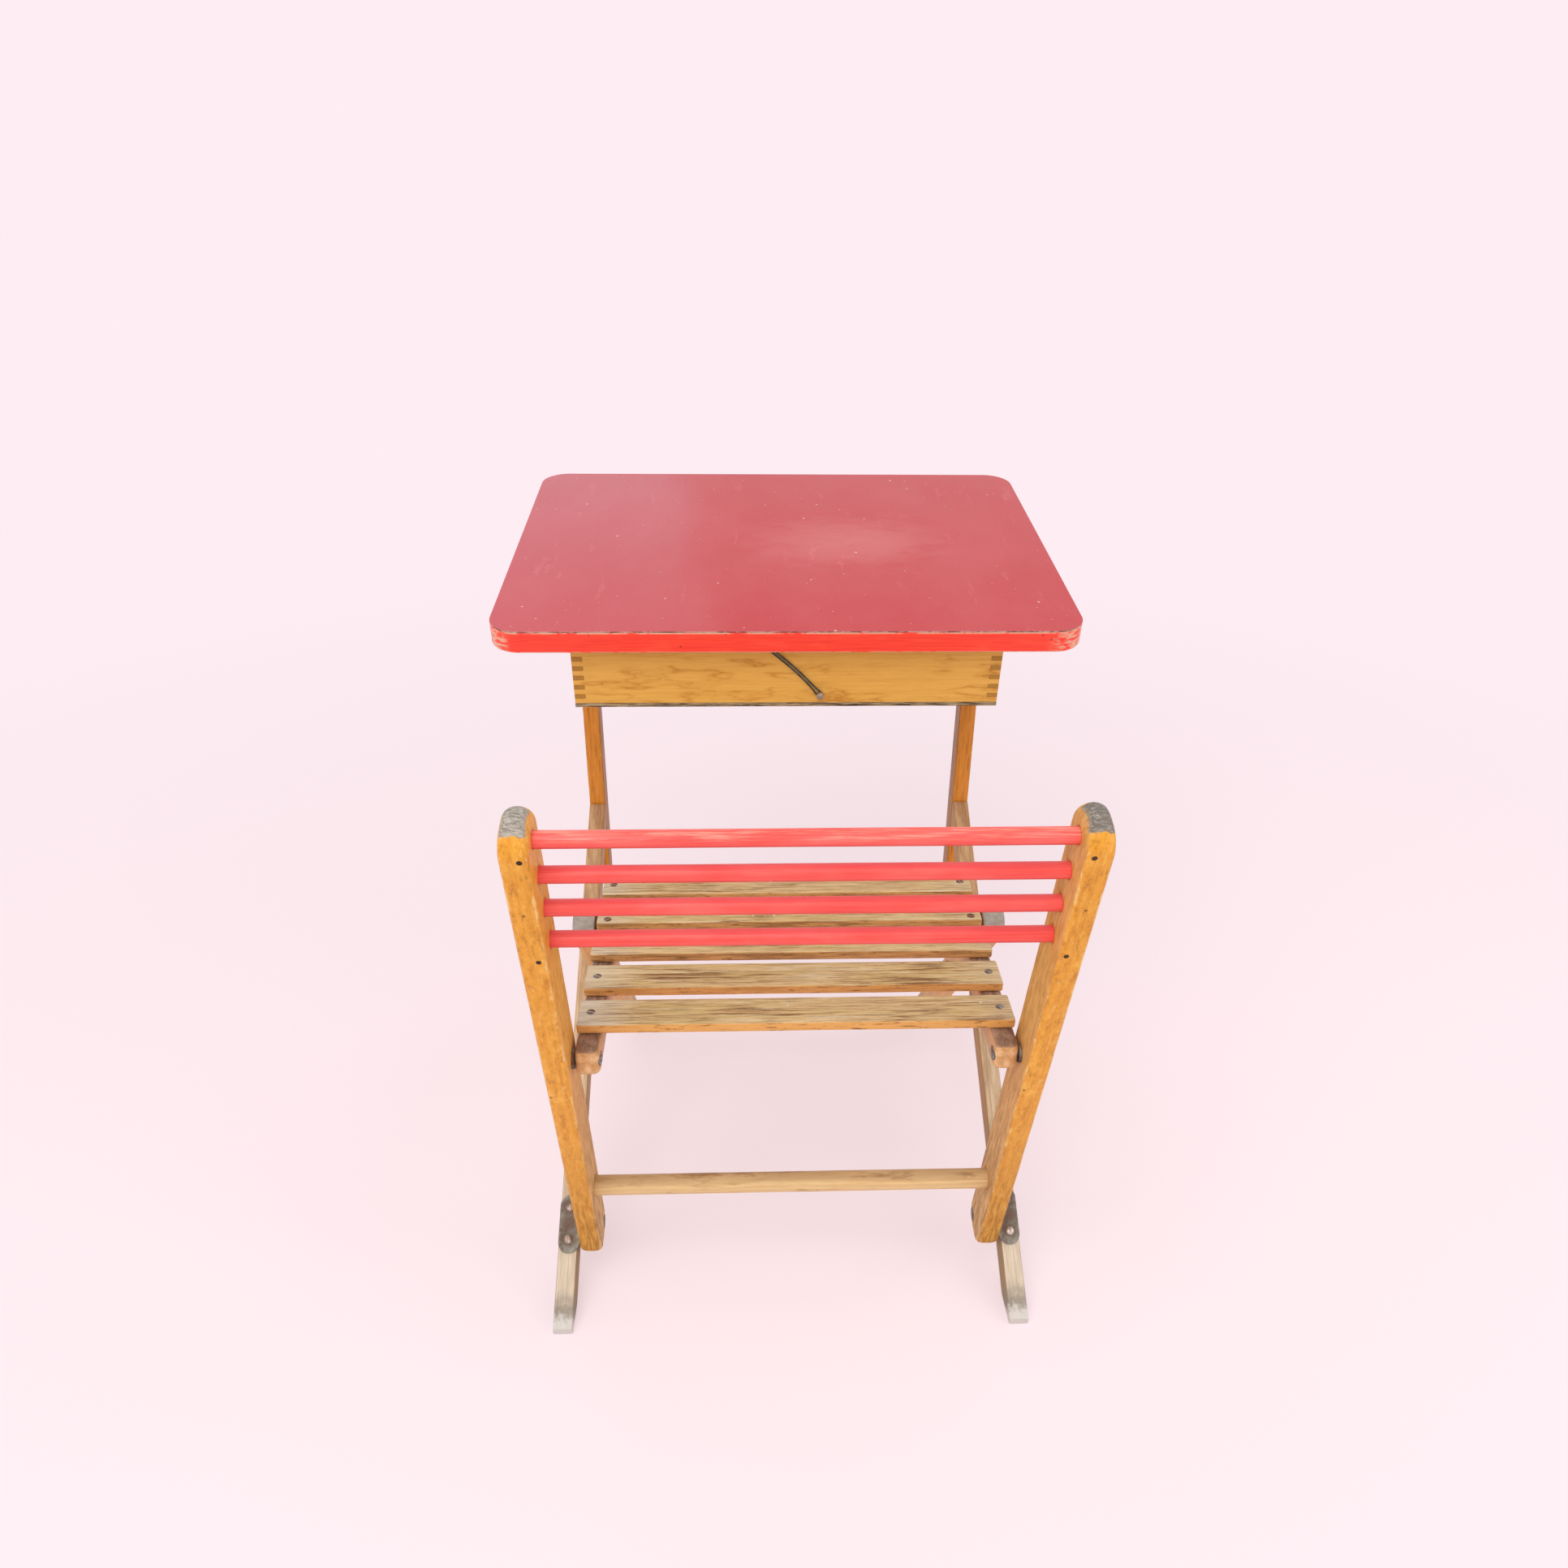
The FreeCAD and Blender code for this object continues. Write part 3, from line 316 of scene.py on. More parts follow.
class Timber(Finish):
    """A wooden finish: rings, fibres, blotches, rubbed edges."""

    def __init__(self, name, centre, turn, half, light, deep, worn, ring=6.0, seed=0, wear=0.45, bands=0.38):
        super().__init__(name, centre, turn)
        shift = (41.0 + 17.0 * seed, 23.0 - 9.0 * seed, 310.0 * seed)
        feeds = {"Place": self.place, "Shift": shift, "Ring": ring, "Wobble": 16.0}
        self.figure = self.use(WOOD, feeds)
        edge = self.use(EDGES, {"Place": self.place, "Half": [v / MM for v in half]})["Edge"]
        feeds = {"Edge": edge, "Place": self.place, "Width": 5.0, "Amount": wear}
        self.rub = self.use(WEAR, feeds)["Mask"]
        self.colour = self.blend(self.times(self.figure["Ring"], bands), light, deep)
        self.rough = self.between(self.rub, 0.0, 1.0, 0.42, 0.75)
        self.over(self.between(self.figure["Fibre"], 0.42, 0.72, 0.0, 0.45), deep)
        self.over(self.between(self.figure["Blotch"], 0.4, 0.68, 0.0, 0.5), light)
        self.over(self.times(self.figure["Pores"], 0.35), deep)
        self.over(self.times(self.rub, 0.75), worn)
        relief = self.plus(self.figure["Fibre"], self.times(self.figure["Pores"], -0.7))
        self.relief = self.plus(relief, self.times(self.figure["Ring"], 0.3))

    def over(self, mask, colour, roughness=None):
        """Lay a colour over the finish where a mask says so."""
        self.colour = self.blend(mask, self.colour, colour)
        if roughness is not None:
            feeds = {0: mask, 2: self.rough, 3: roughness}
            self.rough = self.out("ShaderNodeMix", feeds, {"data_type": "FLOAT"})

    def done(self, depth=0.18):
        return self.close(self.colour, self.rough, self.relief, depth, Specular_IOR_Level=0.28)


def coat(mesh, material):
    """Make a finish the only one of a mesh."""
    mesh.materials.clear()
    mesh.materials.append(material)


def dress(material, *names):
    """Give a finish to nodes that keep their own shape."""
    for name in names:
        coat(NODES[name].data, material)


print("finish helpers ready")

# %% [markdown]
# ## The room
# The photograph is a cut-out on plain pink, so there is no floor to copy. A pale floor of the same
# pink keeps a soft shadow under the feet and fades into the background before the horizon. Wide
# lamps give the even light of a bright day; one pale panel beyond the desk puts the sheen on the
# left of the glossy top.

# %% Floor, lamps and world
BACKDROP = tint(254, 237, 243)
FLOOR_SIZE = 14.0
SKY = (1.0, 0.97, 0.95, 1)
SKY_STRENGTH = 0.68
DAYLIGHT = (1.0, 0.98, 0.95)
PANEL_LIGHT = (0.3, 0.8, 1.0)
LAMP_TARGET = (0, 0, 0.4)
TOP_LEFT = (-0.1, 0.2, 0.6)

floor_finish = bpy.data.materials.new("pale floor")
floor_finish.use_nodes = True
bench = Bench(floor_finish.node_tree)
bench.tree.nodes.clear()
spot = bench.node("ShaderNodeTexCoord").outputs["Object"]
far = bench.between(bench.vector("LENGTH", spot), 0.6, 2.2, 0.5, 1.0)
matt = bench.out("ShaderNodeBsdfDiffuse", {"Color": BACKDROP})
glow = bench.out("ShaderNodeEmission", {"Color": BACKDROP, "Strength": 1.0})
both = bench.out("ShaderNodeMixShader", {0: far, 1: matt, 2: glow})
bench.node("ShaderNodeOutputMaterial", None, {0: both})

floor_mesh = bpy.data.meshes.new("floor")
half = FLOOR_SIZE / 2
corners = [(-half, -half, 0), (half, -half, 0), (half, half, 0), (-half, half, 0)]
floor_mesh.from_pydata(corners, [], [(0, 1, 2, 3)])
coat(floor_mesh, floor_finish)
put("floor", floor_mesh)

world = bpy.data.worlds.new("pale room")
world.use_nodes = True
scene.world = world
bench = Bench(world.node_tree)
bench.tree.nodes.clear()
light_path = bench.node("ShaderNodeLightPath").outputs
seen = bench.math("MAXIMUM", light_path["Is Camera Ray"], light_path["Is Glossy Ray"])
seen = bench.math("MAXIMUM", seen, light_path["Is Transmission Ray"])
sky = bench.out("ShaderNodeBackground", {"Color": SKY, "Strength": SKY_STRENGTH})
paper = bench.out("ShaderNodeBackground", {"Color": BACKDROP, "Strength": 1.0})
both = bench.out("ShaderNodeMixShader", {0: seen, 1: sky, 2: paper})
bench.node("ShaderNodeOutputWorld", None, {0: both})


def lamp(name, place, target, width, power, colour):
    """A square lamp that looks at a point."""
    light = bpy.data.lights.new(name, "AREA")
    light.size = width
    light.energy = power
    light.color = colour
    item = put(name, light)
    item.location = place
    item.rotation_euler = (Vector(target) - Vector(place)).to_track_quat("-Z", "Y").to_euler()


lamp("key", (-0.9, -1.7, 2.5), LAMP_TARGET, width=2.2, power=42, colour=DAYLIGHT)
lamp("fill", (1.9, -0.6, 1.6), LAMP_TARGET, width=1.8, power=12, colour=DAYLIGHT)
lamp("panel", (-0.95, 2.5, 1.9), TOP_LEFT, width=1.5, power=3.2, colour=PANEL_LIGHT)
print("room ready, lamps", [light.name for light in bpy.data.lights])

# %% [markdown]
# ## A rounded block
# Bars and slats are boards with softened edges. A bevel could round them, but it leaves long flat
# faces that cannot be made uneven. So this rule starts from a dense block whose rows crowd towards
# the edges, and pulls the points that lie within a radius of an edge onto a round. Square tells
# whether the corners in side view are rounded too; a bar with half-round ends needs them whole.

# %% Rounded block
BLOCK, bench, given, result = new_group(
    "rounded block", "GeometryNodeTree",
    {"Size": "vector", "Rows": "vector", "Radius": "float", "Square": "float"}, {"Geometry": "geometry"})
cube = bench.node("GeometryNodeMeshCube", None, {"Size": (2, 2, 2)})
for axis, rows in zip("XYZ", bench.parts(given["Rows"])):
    bench.feed(cube.inputs["Vertices " + axis], rows)
where = bench.parts(bench.out("GeometryNodeInputPosition"))
crowded = bench.point(*[bench.math("SINE", bench.times(part, math.pi / 2)) for part in where])
half_size = bench.vector("MULTIPLY", given["Size"], (0.5, 0.5, 0.5))
on_block = bench.vector("MULTIPLY", crowded, half_size)
radius = bench.point(given["Radius"], given["Radius"], given["Radius"])
core = bench.vector("SUBTRACT", half_size, radius)
other_core = bench.vector("MULTIPLY", core, (-1, -1, -1))
inner = bench.vector("MINIMUM", bench.vector("MAXIMUM", on_block, other_core), core)
reach = bench.vector("SUBTRACT", on_block, inner)
gap = bench.parts(bench.vector("ABSOLUTE", reach))
most = bench.math("MAXIMUM", gap[1], gap[2])
least = bench.times(bench.math("MINIMUM", gap[1], gap[2]), given["Square"])
total = bench.plus(bench.math("POWER", gap[0], 2.0), bench.math("POWER", most, 2.0))
total = bench.math("SQRT", bench.plus(total, bench.math("POWER", least, 2.0)))
pull = bench.math("DIVIDE", given["Radius"], bench.math("MAXIMUM", total, 1e-6))
rounded = bench.vector("ADD", inner, bench.scaled(reach, pull))
shaped = bench.out("GeometryNodeSetPosition", {"Geometry": cube.outputs[0], "Position": rounded})
bench.feed(result["Geometry"], shaped)
print(BLOCK.name, len(BLOCK.nodes), "nodes")

# %% [markdown]
# ## From a rule to a mesh
# Planed wood is never quite flat, and a little noise along the normal takes away the machine look.
# It always goes inwards, so that nothing grows past the solid it stands for. Every rule then ends
# the same way, and is run once: its result is kept as a plain mesh and the modifier is taken off.

# %% From a rule to a mesh
def uneven(bench, geometry, depth, grain, seed):
    """Sink the surface a little, by noise that runs along the grain."""
    where = bench.out("GeometryNodeInputPosition")
    wave = bench.noise(bench.vector("ADD", where, bench.point(seed, seed, seed)), grain, 3.0)
    normal = bench.out("GeometryNodeInputNormal")
    offset = bench.scaled(normal, bench.times(bench.times(wave, depth), -1.0))
    return bench.out("GeometryNodeSetPosition", {"Geometry": geometry, "Offset": offset})


def close_tree(bench, result, geometry, finish):
    """Every tree ends the same way: real geometry, smooth, with its finish."""
    solid = bench.out("GeometryNodeRealizeInstances", {"Geometry": geometry})
    smooth = bench.out("GeometryNodeSetShadeSmooth", {"Geometry": solid})
    painted = bench.out("GeometryNodeSetMaterial", {"Geometry": smooth, "Material": finish})
    bench.feed(result["Geometry"], painted)


def plain_mesh(item):
    """What an object has become under its modifiers, as a mesh of its own."""
    bpy.context.view_layer.update()
    graph = bpy.context.evaluated_depsgraph_get()
    return bpy.data.meshes.new_from_object(item.evaluated_get(graph))


def grow(name, tree, values, source=None):
    """Run a shape rule on a new object and keep the result as a plain mesh at the origin."""
    item = put(name, source or bpy.data.meshes.new(name))
    rule = item.modifiers.new("rule", "NODES")
    rule.node_group = tree
    for socket in tree.interface.items_tree:
        if socket.in_out == "INPUT" and socket.name in values:
            rule[socket.identifier] = values[socket.name]
    mesh = plain_mesh(item)
    item.modifiers.remove(rule)
    item.data = mesh
    mesh.name = name
    print(name, len(mesh.vertices), "points")
    return item


print("rules can be grown")

# %% [markdown]
# ## Standing in for a solid
# A grown bar has no holes. Drilling each one again would repeat the solid model, so the bar is cut
# to the solid that it stands for, which brings back the bores, the bolt recesses and the flat feet.
# A piece then rides its body and hides the solids that it replaces.

# %% Standing in for a solid
SHARP_ANGLE = math.radians(50)


def middle_of(*names):
    """Middle and half size of some nodes' common box."""
    corners = [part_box(name) for name in names]
    low = Vector([min(c[0][i] for c in corners) for i in range(3)])
    high = Vector([max(c[1][i] for c in corners) for i in range(3)])
    return (low + high) / 2, (high - low) / 2


def merged(node):
    """A copy of a solid's mesh whose loose triangles share their points."""
    mesh = NODES[node].data.copy()
    shape = bmesh.new()
    shape.from_mesh(mesh)
    bmesh.ops.remove_doubles(shape, verts=shape.verts, dist=1e-6)
    shape.to_mesh(mesh)
    shape.free()
    return mesh


def combine(item, other, operation):
    """Cut an object with another, which is used up, and keep a plain mesh."""
    rule = item.modifiers.new("combine", "BOOLEAN")
    rule.operation = operation
    rule.object = other
    mesh = plain_mesh(item)
    item.modifiers.remove(rule)
    item.data = mesh
    bpy.data.objects.remove(other)


def bored(item, node):
    """Keep what lies in the frame's solid, so that bores and recesses stay where the bolts are."""
    finish = [entry for entry in item.data.materials if entry][0]
    combine(item, put("solid", merged(node)), "INTERSECT")
    coat(item.data, finish)
    for face in item.data.polygons:
        face.material_index = 0
        face.use_smooth = True
    item.data.set_sharp_from_angle(angle=SHARP_ANGLE)
    print(item.name, "cut to", node, len(item.data.polygons), "faces")


def fit(item, body, slot, *names):
    """Ride a body and stand for solids of the frame; slot is not used."""
    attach(item, body)
    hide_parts(*names)


print("middle of the seat", [round(v, 3) for v in middle_of("seat_slat_1", "seat_slat_5")[0]])

# %% [markdown]
# ## A wooden bar
# Posts, legs, uprights and rails are all bars, so one rule makes them. Where half-round ends are
# asked for, the square end is squeezed into a half disc, and a dome pulls the sides of that disc
# towards its middle, as years of hands do. A base point and a turn then lay the bar in its place.

# %% Wooden bar
BAR_GRAIN = (120.0, 120.0, 14.0)
BAR_SINK = 0.5 * MM
EDGE_RADIUS = 2.5 * MM
PLAIN_ROWS = (9, 13, 91)
FINE_ROWS = (13, 25, 111)

BAR, bench, given, result = new_group(
    "wooden bar", "GeometryNodeTree",
    {"Thickness": "float", "Depth": "float", "Low": "float", "High": "float", "Radius": "float",
     "Round": "float", "Dome low": "float", "Dome high": "float", "Rows": "vector", "Uneven": "float",
     "Seed": "float", "Base": "vector", "Turn": "float", "Finish": "material"}, {"Geometry": "geometry"})
length = bench.minus(given["High"], given["Low"])
size = bench.point(given["Thickness"], given["Depth"], length)
square = bench.minus(1.0, given["Round"])
feeds = {"Size": size, "Rows": given["Rows"], "Radius": given["Radius"], "Square": square}
block = bench.use(BLOCK, feeds)[0]
x, y, z = bench.parts(bench.out("GeometryNodeInputPosition"))
half_depth = bench.times(given["Depth"], 0.5)
ends = bench.minus(bench.times(length, 0.5), half_depth)
beyond = bench.math("MAXIMUM", bench.minus(bench.math("ABSOLUTE", z), ends), 0.0)
up = bench.math("GREATER_THAN", z, 0.0)
down = bench.minus(1.0, up)


def squeeze(bench, other):
    """How much one side of a square shrinks where the square becomes a disc."""
    return bench.math("SQRT", bench.minus(1.0, bench.times(bench.math("POWER", other, 2.0), 0.5)))


end_share = bench.times(bench.math("DIVIDE", beyond, half_depth), given["Round"])
side_share = bench.times(bench.math("DIVIDE", y, half_depth), given["Round"])
new_y = bench.times(y, squeeze(bench, end_share))
kept = bench.minus(bench.math("ABSOLUTE", z), beyond)
new_z = bench.plus(kept, bench.times(beyond, squeeze(bench, side_share)))
share = bench.math("DIVIDE", bench.math("ABSOLUTE", x), bench.times(given["Thickness"], 0.5))
fall = bench.minus(1.0, bench.math("POWER", bench.math("MINIMUM", share, 1.0), 2.0))
shoulder = bench.minus(1.0, bench.math("SQRT", fall))
climb = bench.minus(new_z, ends)
climb_share = bench.math("MAXIMUM", bench.math("DIVIDE", climb, half_depth), 0.0)
dome = bench.plus(bench.times(up, given["Dome high"]), bench.times(down, given["Dome low"]))
sunk = bench.times(bench.times(climb_share, shoulder), bench.math("DIVIDE", dome, half_depth))
keep = bench.minus(1.0, sunk)
new_y = bench.times(new_y, keep)
new_z = bench.times(bench.plus(ends, bench.times(climb, keep)), bench.math("SIGN", z))
centre = bench.times(bench.plus(given["High"], given["Low"]), 0.5)
new_place = bench.point(x, new_y, bench.plus(new_z, centre))
bar = bench.out("GeometryNodeSetPosition", {"Geometry": block, "Position": new_place})
bar = uneven(bench, bar, given["Uneven"], BAR_GRAIN, given["Seed"])
feeds = {"Geometry": bar, "Translation": given["Base"], "Rotation": bench.point(given["Turn"])}
close_tree(bench, result, bench.out("GeometryNodeTransform", feeds), given["Finish"])


def worn_bar(node, body, size, ends, base, turn, finish, seed, radius=EDGE_RADIUS, rounding=0.0,
             domes=(0.0, 0.0), rows=PLAIN_ROWS):
    """A bar with worn edges, cut to the solid of the frame that it stands for."""
    thickness, depth = size
    low, high = ends
    bar = grow(node + "_wood", BAR, {
        "Thickness": thickness, "Depth": depth, "Low": low, "High": high, "Radius": radius,
        "Round": rounding, "Dome low": domes[0], "Dome high": domes[1], "Rows": rows,
        "Uneven": BAR_SINK, "Seed": float(seed), "Base": tuple(base), "Turn": turn, "Finish": finish})
    bored(bar, node)
    fit(bar, body, "varnished_wood", node)


print(BAR.name, len(BAR.nodes), "nodes")

# %% [markdown]
# ## Rows of slats and rods
# Five slats and four red bars repeat at an even step. Copies could be made in a loop; a rule that
# sets instances on the points of a line keeps the count and the step as inputs, and makes the
# copies real before the noise, so that no two are alike.

# %% Row of slats and row of round rods
ROW_INPUTS = {"Radius": "float", "Count": "int", "Start": "vector", "Step": "vector",
              "Uneven": "float", "Finish": "material"}


def lay_row(bench, given, result, piece, grain):
    """Copies of a piece along a line, each uneven in its own way."""
    feeds = {"Count": given["Count"], "Start Location": given["Start"], "Offset": given["Step"]}
    line = bench.out("GeometryNodeMeshLine", feeds, {"mode": "OFFSET"})
    row = bench.out("GeometryNodeInstanceOnPoints", {"Points": line, "Instance": piece})
    row = bench.out("GeometryNodeRealizeInstances", {"Geometry": row})
    row = uneven(bench, row, given["Uneven"], grain, 0.0)
    close_tree(bench, result, row, given["Finish"])


SLATS, bench, given, result = new_group(
    "row of slats", "GeometryNodeTree", {"Size": "vector", **ROW_INPUTS}, {"Geometry": "geometry"})
feeds = {"Size": given["Size"], "Rows": (81, 19, 9), "Radius": given["Radius"], "Square": 1.0}
lay_row(bench, given, result, bench.use(BLOCK, feeds)[0], (14.0, 130.0, 130.0))

RODS, bench, given, result = new_group(
    "row of rods", "GeometryNodeTree", {"Length": "float", **ROW_INPUTS}, {"Geometry": "geometry"})
feeds = {"Vertices": 40, "Side Segments": 90, "Fill Segments": 2, "Radius": given["Radius"],
         "Depth": given["Length"]}
rod = bench.out("GeometryNodeMeshCylinder", feeds)
rod = bench.out("GeometryNodeTransform", {"Geometry": rod, "Rotation": (0, math.pi / 2, 0)})
lay_row(bench, given, result, rod, (9.0, 60.0, 60.0))
print("row rules", SLATS.name, RODS.name)

# %% [markdown]
# ## Back posts
# Two stout posts lean back on the rear legs. Their varnish is honey orange with cloudy mottles, duller
# near the foot, and it has weathered off the rounded tops, where grey end grain shows. Their inner
# faces are painted greyer and darker as shade, most of all low down. The tops could be sculpted; the
# bar rule's half-round ends and dome give the same soft crown from a few numbers.

# %% Back posts
BACK_LEAN = 15.15
POST_LENGTH = 543 * MM
POST_LOW = -14 * MM
POST_HALF = 21 * MM
POST_OFFSET = 9 * MM
POST_EDGE = 4.3 * MM
POST_DOMES = (5 * MM, 11 * MM)
CROWN_CENTRE = (POST_LENGTH - POST_HALF) / MM
HONEY = tint(234, 163, 52)
HONEY_DEEP = tint(196, 120, 32)
HONEY_WORN = tint(238, 196, 124)
GREY_GRAIN = tint(190, 182, 170)
GREY_DARK = tint(118, 110, 102)

lean = math.radians(BACK_LEAN)
POST_UP = Vector((0, -math.sin(lean), math.cos(lean)))
POST_AHEAD = Vector((0, math.cos(lean), math.sin(lean)))


def post_base(x):
    """The middle line of a post, level with its pivot."""
    return Vector((x, *PIVOT["back_fold"].yz)) - POST_AHEAD * POST_OFFSET


def post_finish(name, x, half_thick, seed, cap_shade, inner_shade_high):
    """Mottled varnish with a bare grey crown that cap_shade darkens; painted shade on the inner faces fades
    up the post to a share given last.
    """
    half = (half_thick, POST_HALF, POST_LENGTH)
    wood = Timber(name, post_base(x), turned(BACK_LEAN), half, HONEY, HONEY_DEEP, HONEY_WORN,
                  ring=7.0, seed=seed, wear=0.62, bands=0.25)
    cloud = wood.noise(wood.place, (0.12, 0.12, 0.06), 5.0, 0.7)
    wood.over(wood.between(cloud, 0.5, 0.7, 0.0, 0.6), tint(248, 188, 82))
    wood.over(wood.between(cloud, 0.3, 0.46, 0.6, 0.0), tint(184, 112, 30))
    dash = wood.noise(wood.place, (0.19, 0.19, 0.08), 6.0, 0.72)
    wood.over(wood.between(dash, 0.52, 0.68, 0.0, 0.6), tint(164, 102, 28))
    wood.over(wood.between(dash, 0.32, 0.46, 0.6, 0.0), tint(248, 198, 106))
    flecks = wood.specks(wood.place, 7.0, 0.08)
    wood.over(wood.times(flecks, 0.7), tint(92, 56, 24))
    ragged = wood.noise(wood.place, (0.25, 0.25, 0.1), 4.0)
    shake = wood.times(wood.minus(ragged, 0.5), 0.2)
    from_centre = wood.vector("SUBTRACT", wood.place, (0, 0, CROWN_CENTRE))
    away = wood.vector("LENGTH", wood.vector("MULTIPLY", from_centre, (0, 1, 1)))
    climb = wood.math("DIVIDE", wood.minus(wood.axes[2], CROWN_CENTRE), away)
    crown = wood.between(wood.plus(climb, shake), 0.7, 0.76)
    end_face = wood.between(wood.math("ABSOLUTE", wood.facing((1, 0, 0))), 0.8, 0.92, 1.0, 0.0)
    grey = wood.times(crown, end_face)
    streaks = wood.noise(wood.place, (0.14, 0.7, 0.7), 5.0, 0.7)
    end_tone = wood.blend(wood.between(streaks, cap_shade, cap_shade + 0.32), GREY_DARK, GREY_GRAIN)
    wood.over(grey, end_tone, 0.85)
    low = wood.between(wood.axes[2], 0.0, 240.0, 1.0, 0.0)
    strand = wood.noise(wood.place, (0.34, 0.34, 0.035), 5.0, 0.7)
    dull = wood.blend(wood.between(strand, 0.36, 0.64), tint(150, 98, 34), tint(214, 160, 74))
    wood.over(wood.times(low, wood.between(cloud, 0.2, 0.7, 0.4, 0.95)), dull, 0.7)
    # The inner faces are painted greyer and darker as shade, most of all low down.
    inner = wood.between(wood.facing((-math.copysign(1, x), 0, 0)), 0.6, 0.9)
    post_inner_shade = wood.times(inner, wood.between(wood.axes[2], 40.0, 420.0, 0.75, inner_shade_high))
    post_shade_tone = wood.blend(wood.between(strand, 0.36, 0.64), tint(164, 128, 84), tint(222, 184, 132))
    wood.over(post_inner_shade, post_shade_tone, 0.7)
    bare = wood.minus(1.0, grey)
    wood.over(wood.times(wood.times(wood.rub, bare), 0.5), tint(246, 212, 146))
    return wood.done()


for side, seed, cap_shade, inner_shade_high in (("left", 1, 0.32, 0.1), ("right", 4, 0.44, 0.45)):
    node = f"back_post_{side}"
    middle, half = middle_of(node)
    varnish = post_finish(f"post varnish {side}", middle.x, half.x, seed, cap_shade, inner_shade_high)
    worn_bar(node, "backrest", (2 * half.x, 2 * POST_HALF), (POST_LOW, POST_LENGTH), post_base(middle.x),
             lean, varnish, seed, POST_EDGE, 1.0, POST_DOMES, FINE_ROWS)

# %% [markdown]
# ## Round bars
# Four thin bars across the back are painted red, with a painted pink sheen on their upper sides and
# painted shade on their undersides, and hands have rubbed the top one pale. The stout lower bar and
# the stretcher of the front legs are bare wood. One rule lays a row of rods; the red row has four,
# the bare ones are rows of one.

# %% Red bars, lower bar and stretcher
RED = tint(245, 80, 72)
RED_DEEP = tint(214, 42, 42)
ROD_LENGTH = 374 * MM


def rod_place(name):
    """Middle and radius of a rod that lies along X."""
    low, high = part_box(name)
    return (low + high) / 2, (high.z - low.z) / 2


def red_bar_finish():
    paint = Finish("red bar paint", rod_place("back_bar_1")[0], turned(BACK_LEAN))
    grain = paint.noise(paint.place, (0.012, 0.8, 0.8), 4.0, 0.6)
    cloud = paint.noise(paint.place, (0.02, 0.06, 0.06), 4.0)
    colour = paint.blend(paint.between(cloud, 0.35, 0.7), RED, tint(252, 100, 92))
    colour = paint.blend(paint.between(grain, 0.5, 0.72, 0.0, 0.5), colour, RED_DEEP)
    scrape = paint.noise(paint.place, (0.022, 0.5, 0.5), 5.0, 0.7)
    top_bar = paint.between(paint.axes[2], 0.0, 5.0)
    rubbed = paint.times(paint.between(scrape, 0.44, 0.64), top_bar)
    colour = paint.blend(paint.times(rubbed, 0.6), colour, tint(242, 170, 150))
    # A pink sheen is painted on the upper sides, except where the top bar is rubbed.
    above = paint.between(paint.facing((0, 0, 1)), 0.6, 0.95)
    pink = paint.times(above, paint.minus(1.0, top_bar))
    colour = paint.blend(paint.times(pink, 0.4), colour, tint(238, 84, 98))
    # Shade is painted on the undersides in a deeper red.
    below = paint.between(paint.facing((0, 0, -1)), 0.25, 0.8, 0.0, 0.75)
    colour = paint.blend(below, colour, tint(206, 48, 36))
    chips = paint.specks(paint.place, 6.0, 0.05)
    colour = paint.blend(paint.times(chips, 0.7), colour, tint(244, 190, 176))
    rough = paint.between(grain, 0.3, 0.7, 0.34, 0.52)
    return paint.close(colour, rough, grain, 0.25)


def bare_rod_finish(name, node, seed):
    place, radius = rod_place(node)
    half = (radius * 3, radius * 3, ROD_LENGTH / 2)
    wood = Timber(name, place, turned(0, 90, 0), half, tint(230, 196, 142), tint(190, 144, 92),
                  tint(234, 212, 170), ring=4.0, seed=seed, wear=0.2)
    stain = wood.noise(wood.place, (0.09, 0.09, 0.02), 5.0, 0.65)
    wood.over(wood.between(stain, 0.53, 0.68, 0.0, 0.7), tint(146, 100, 58), 0.7)
    wood.over(wood.between(stain, 0.28, 0.4, 0.5, 0.0), tint(214, 150, 70))
    above = wood.between(wood.facing((0, 0, 1)), 0.5, 0.95, 0.0, 0.7)
    wood.over(wood.times(above, wood.figure["Blotch"]), tint(150, 118, 90), 0.75)
    return wood.done(0.3)


first, radius = rod_place("back_bar_1")
second = rod_place("back_bar_2")[0]
red_bars = grow("back_bars_red", RODS, {
    "Radius": radius, "Length": ROD_LENGTH, "Count": 4, "Start": tuple(first),
    "Step": tuple(second - first), "Uneven": 0.35 * MM, "Finish": red_bar_finish()})
fit(red_bars, "backrest", "red_paint", *[f"back_bar_{i}" for i in range(1, 5)])
for node, body, seed in (("lower_bar", "backrest", 2), ("front_stretcher", "front_legs", 5)):
    place, radius = rod_place(node)
    rod = grow(node + "_wood", RODS, {
        "Radius": radius, "Length": ROD_LENGTH, "Count": 1, "Start": tuple(place), "Step": (0, 0, 0),
        "Uneven": 0.45 * MM, "Finish": bare_rod_finish(node + " bare wood", node, seed)})
    fit(rod, body, "varnished_wood", node)

# %% [markdown]
# ## Seat
# Sun and rain have bleached the tops of the slats to a pale olive tan with brown lines along the
# grain, most of all at their left ends; the near edges keep their orange varnish, with dark bruises.
# Five finishes could be made. One is enough, because it counts the slats by where they lie and
# shifts its pattern from slat to slat.

# %% Slats
slat_middle, slat_half = middle_of("seat_slat_1")
last_middle = middle_of("seat_slat_5")[0]
SLAT_COUNT = 5
SLAT_STEP = (last_middle - slat_middle) / (SLAT_COUNT - 1)
PATTERN_SHIFT = (61.0, 37.0, 143.0)
seat_middle = middle_of("seat_slat_1", "seat_slat_5")[0]


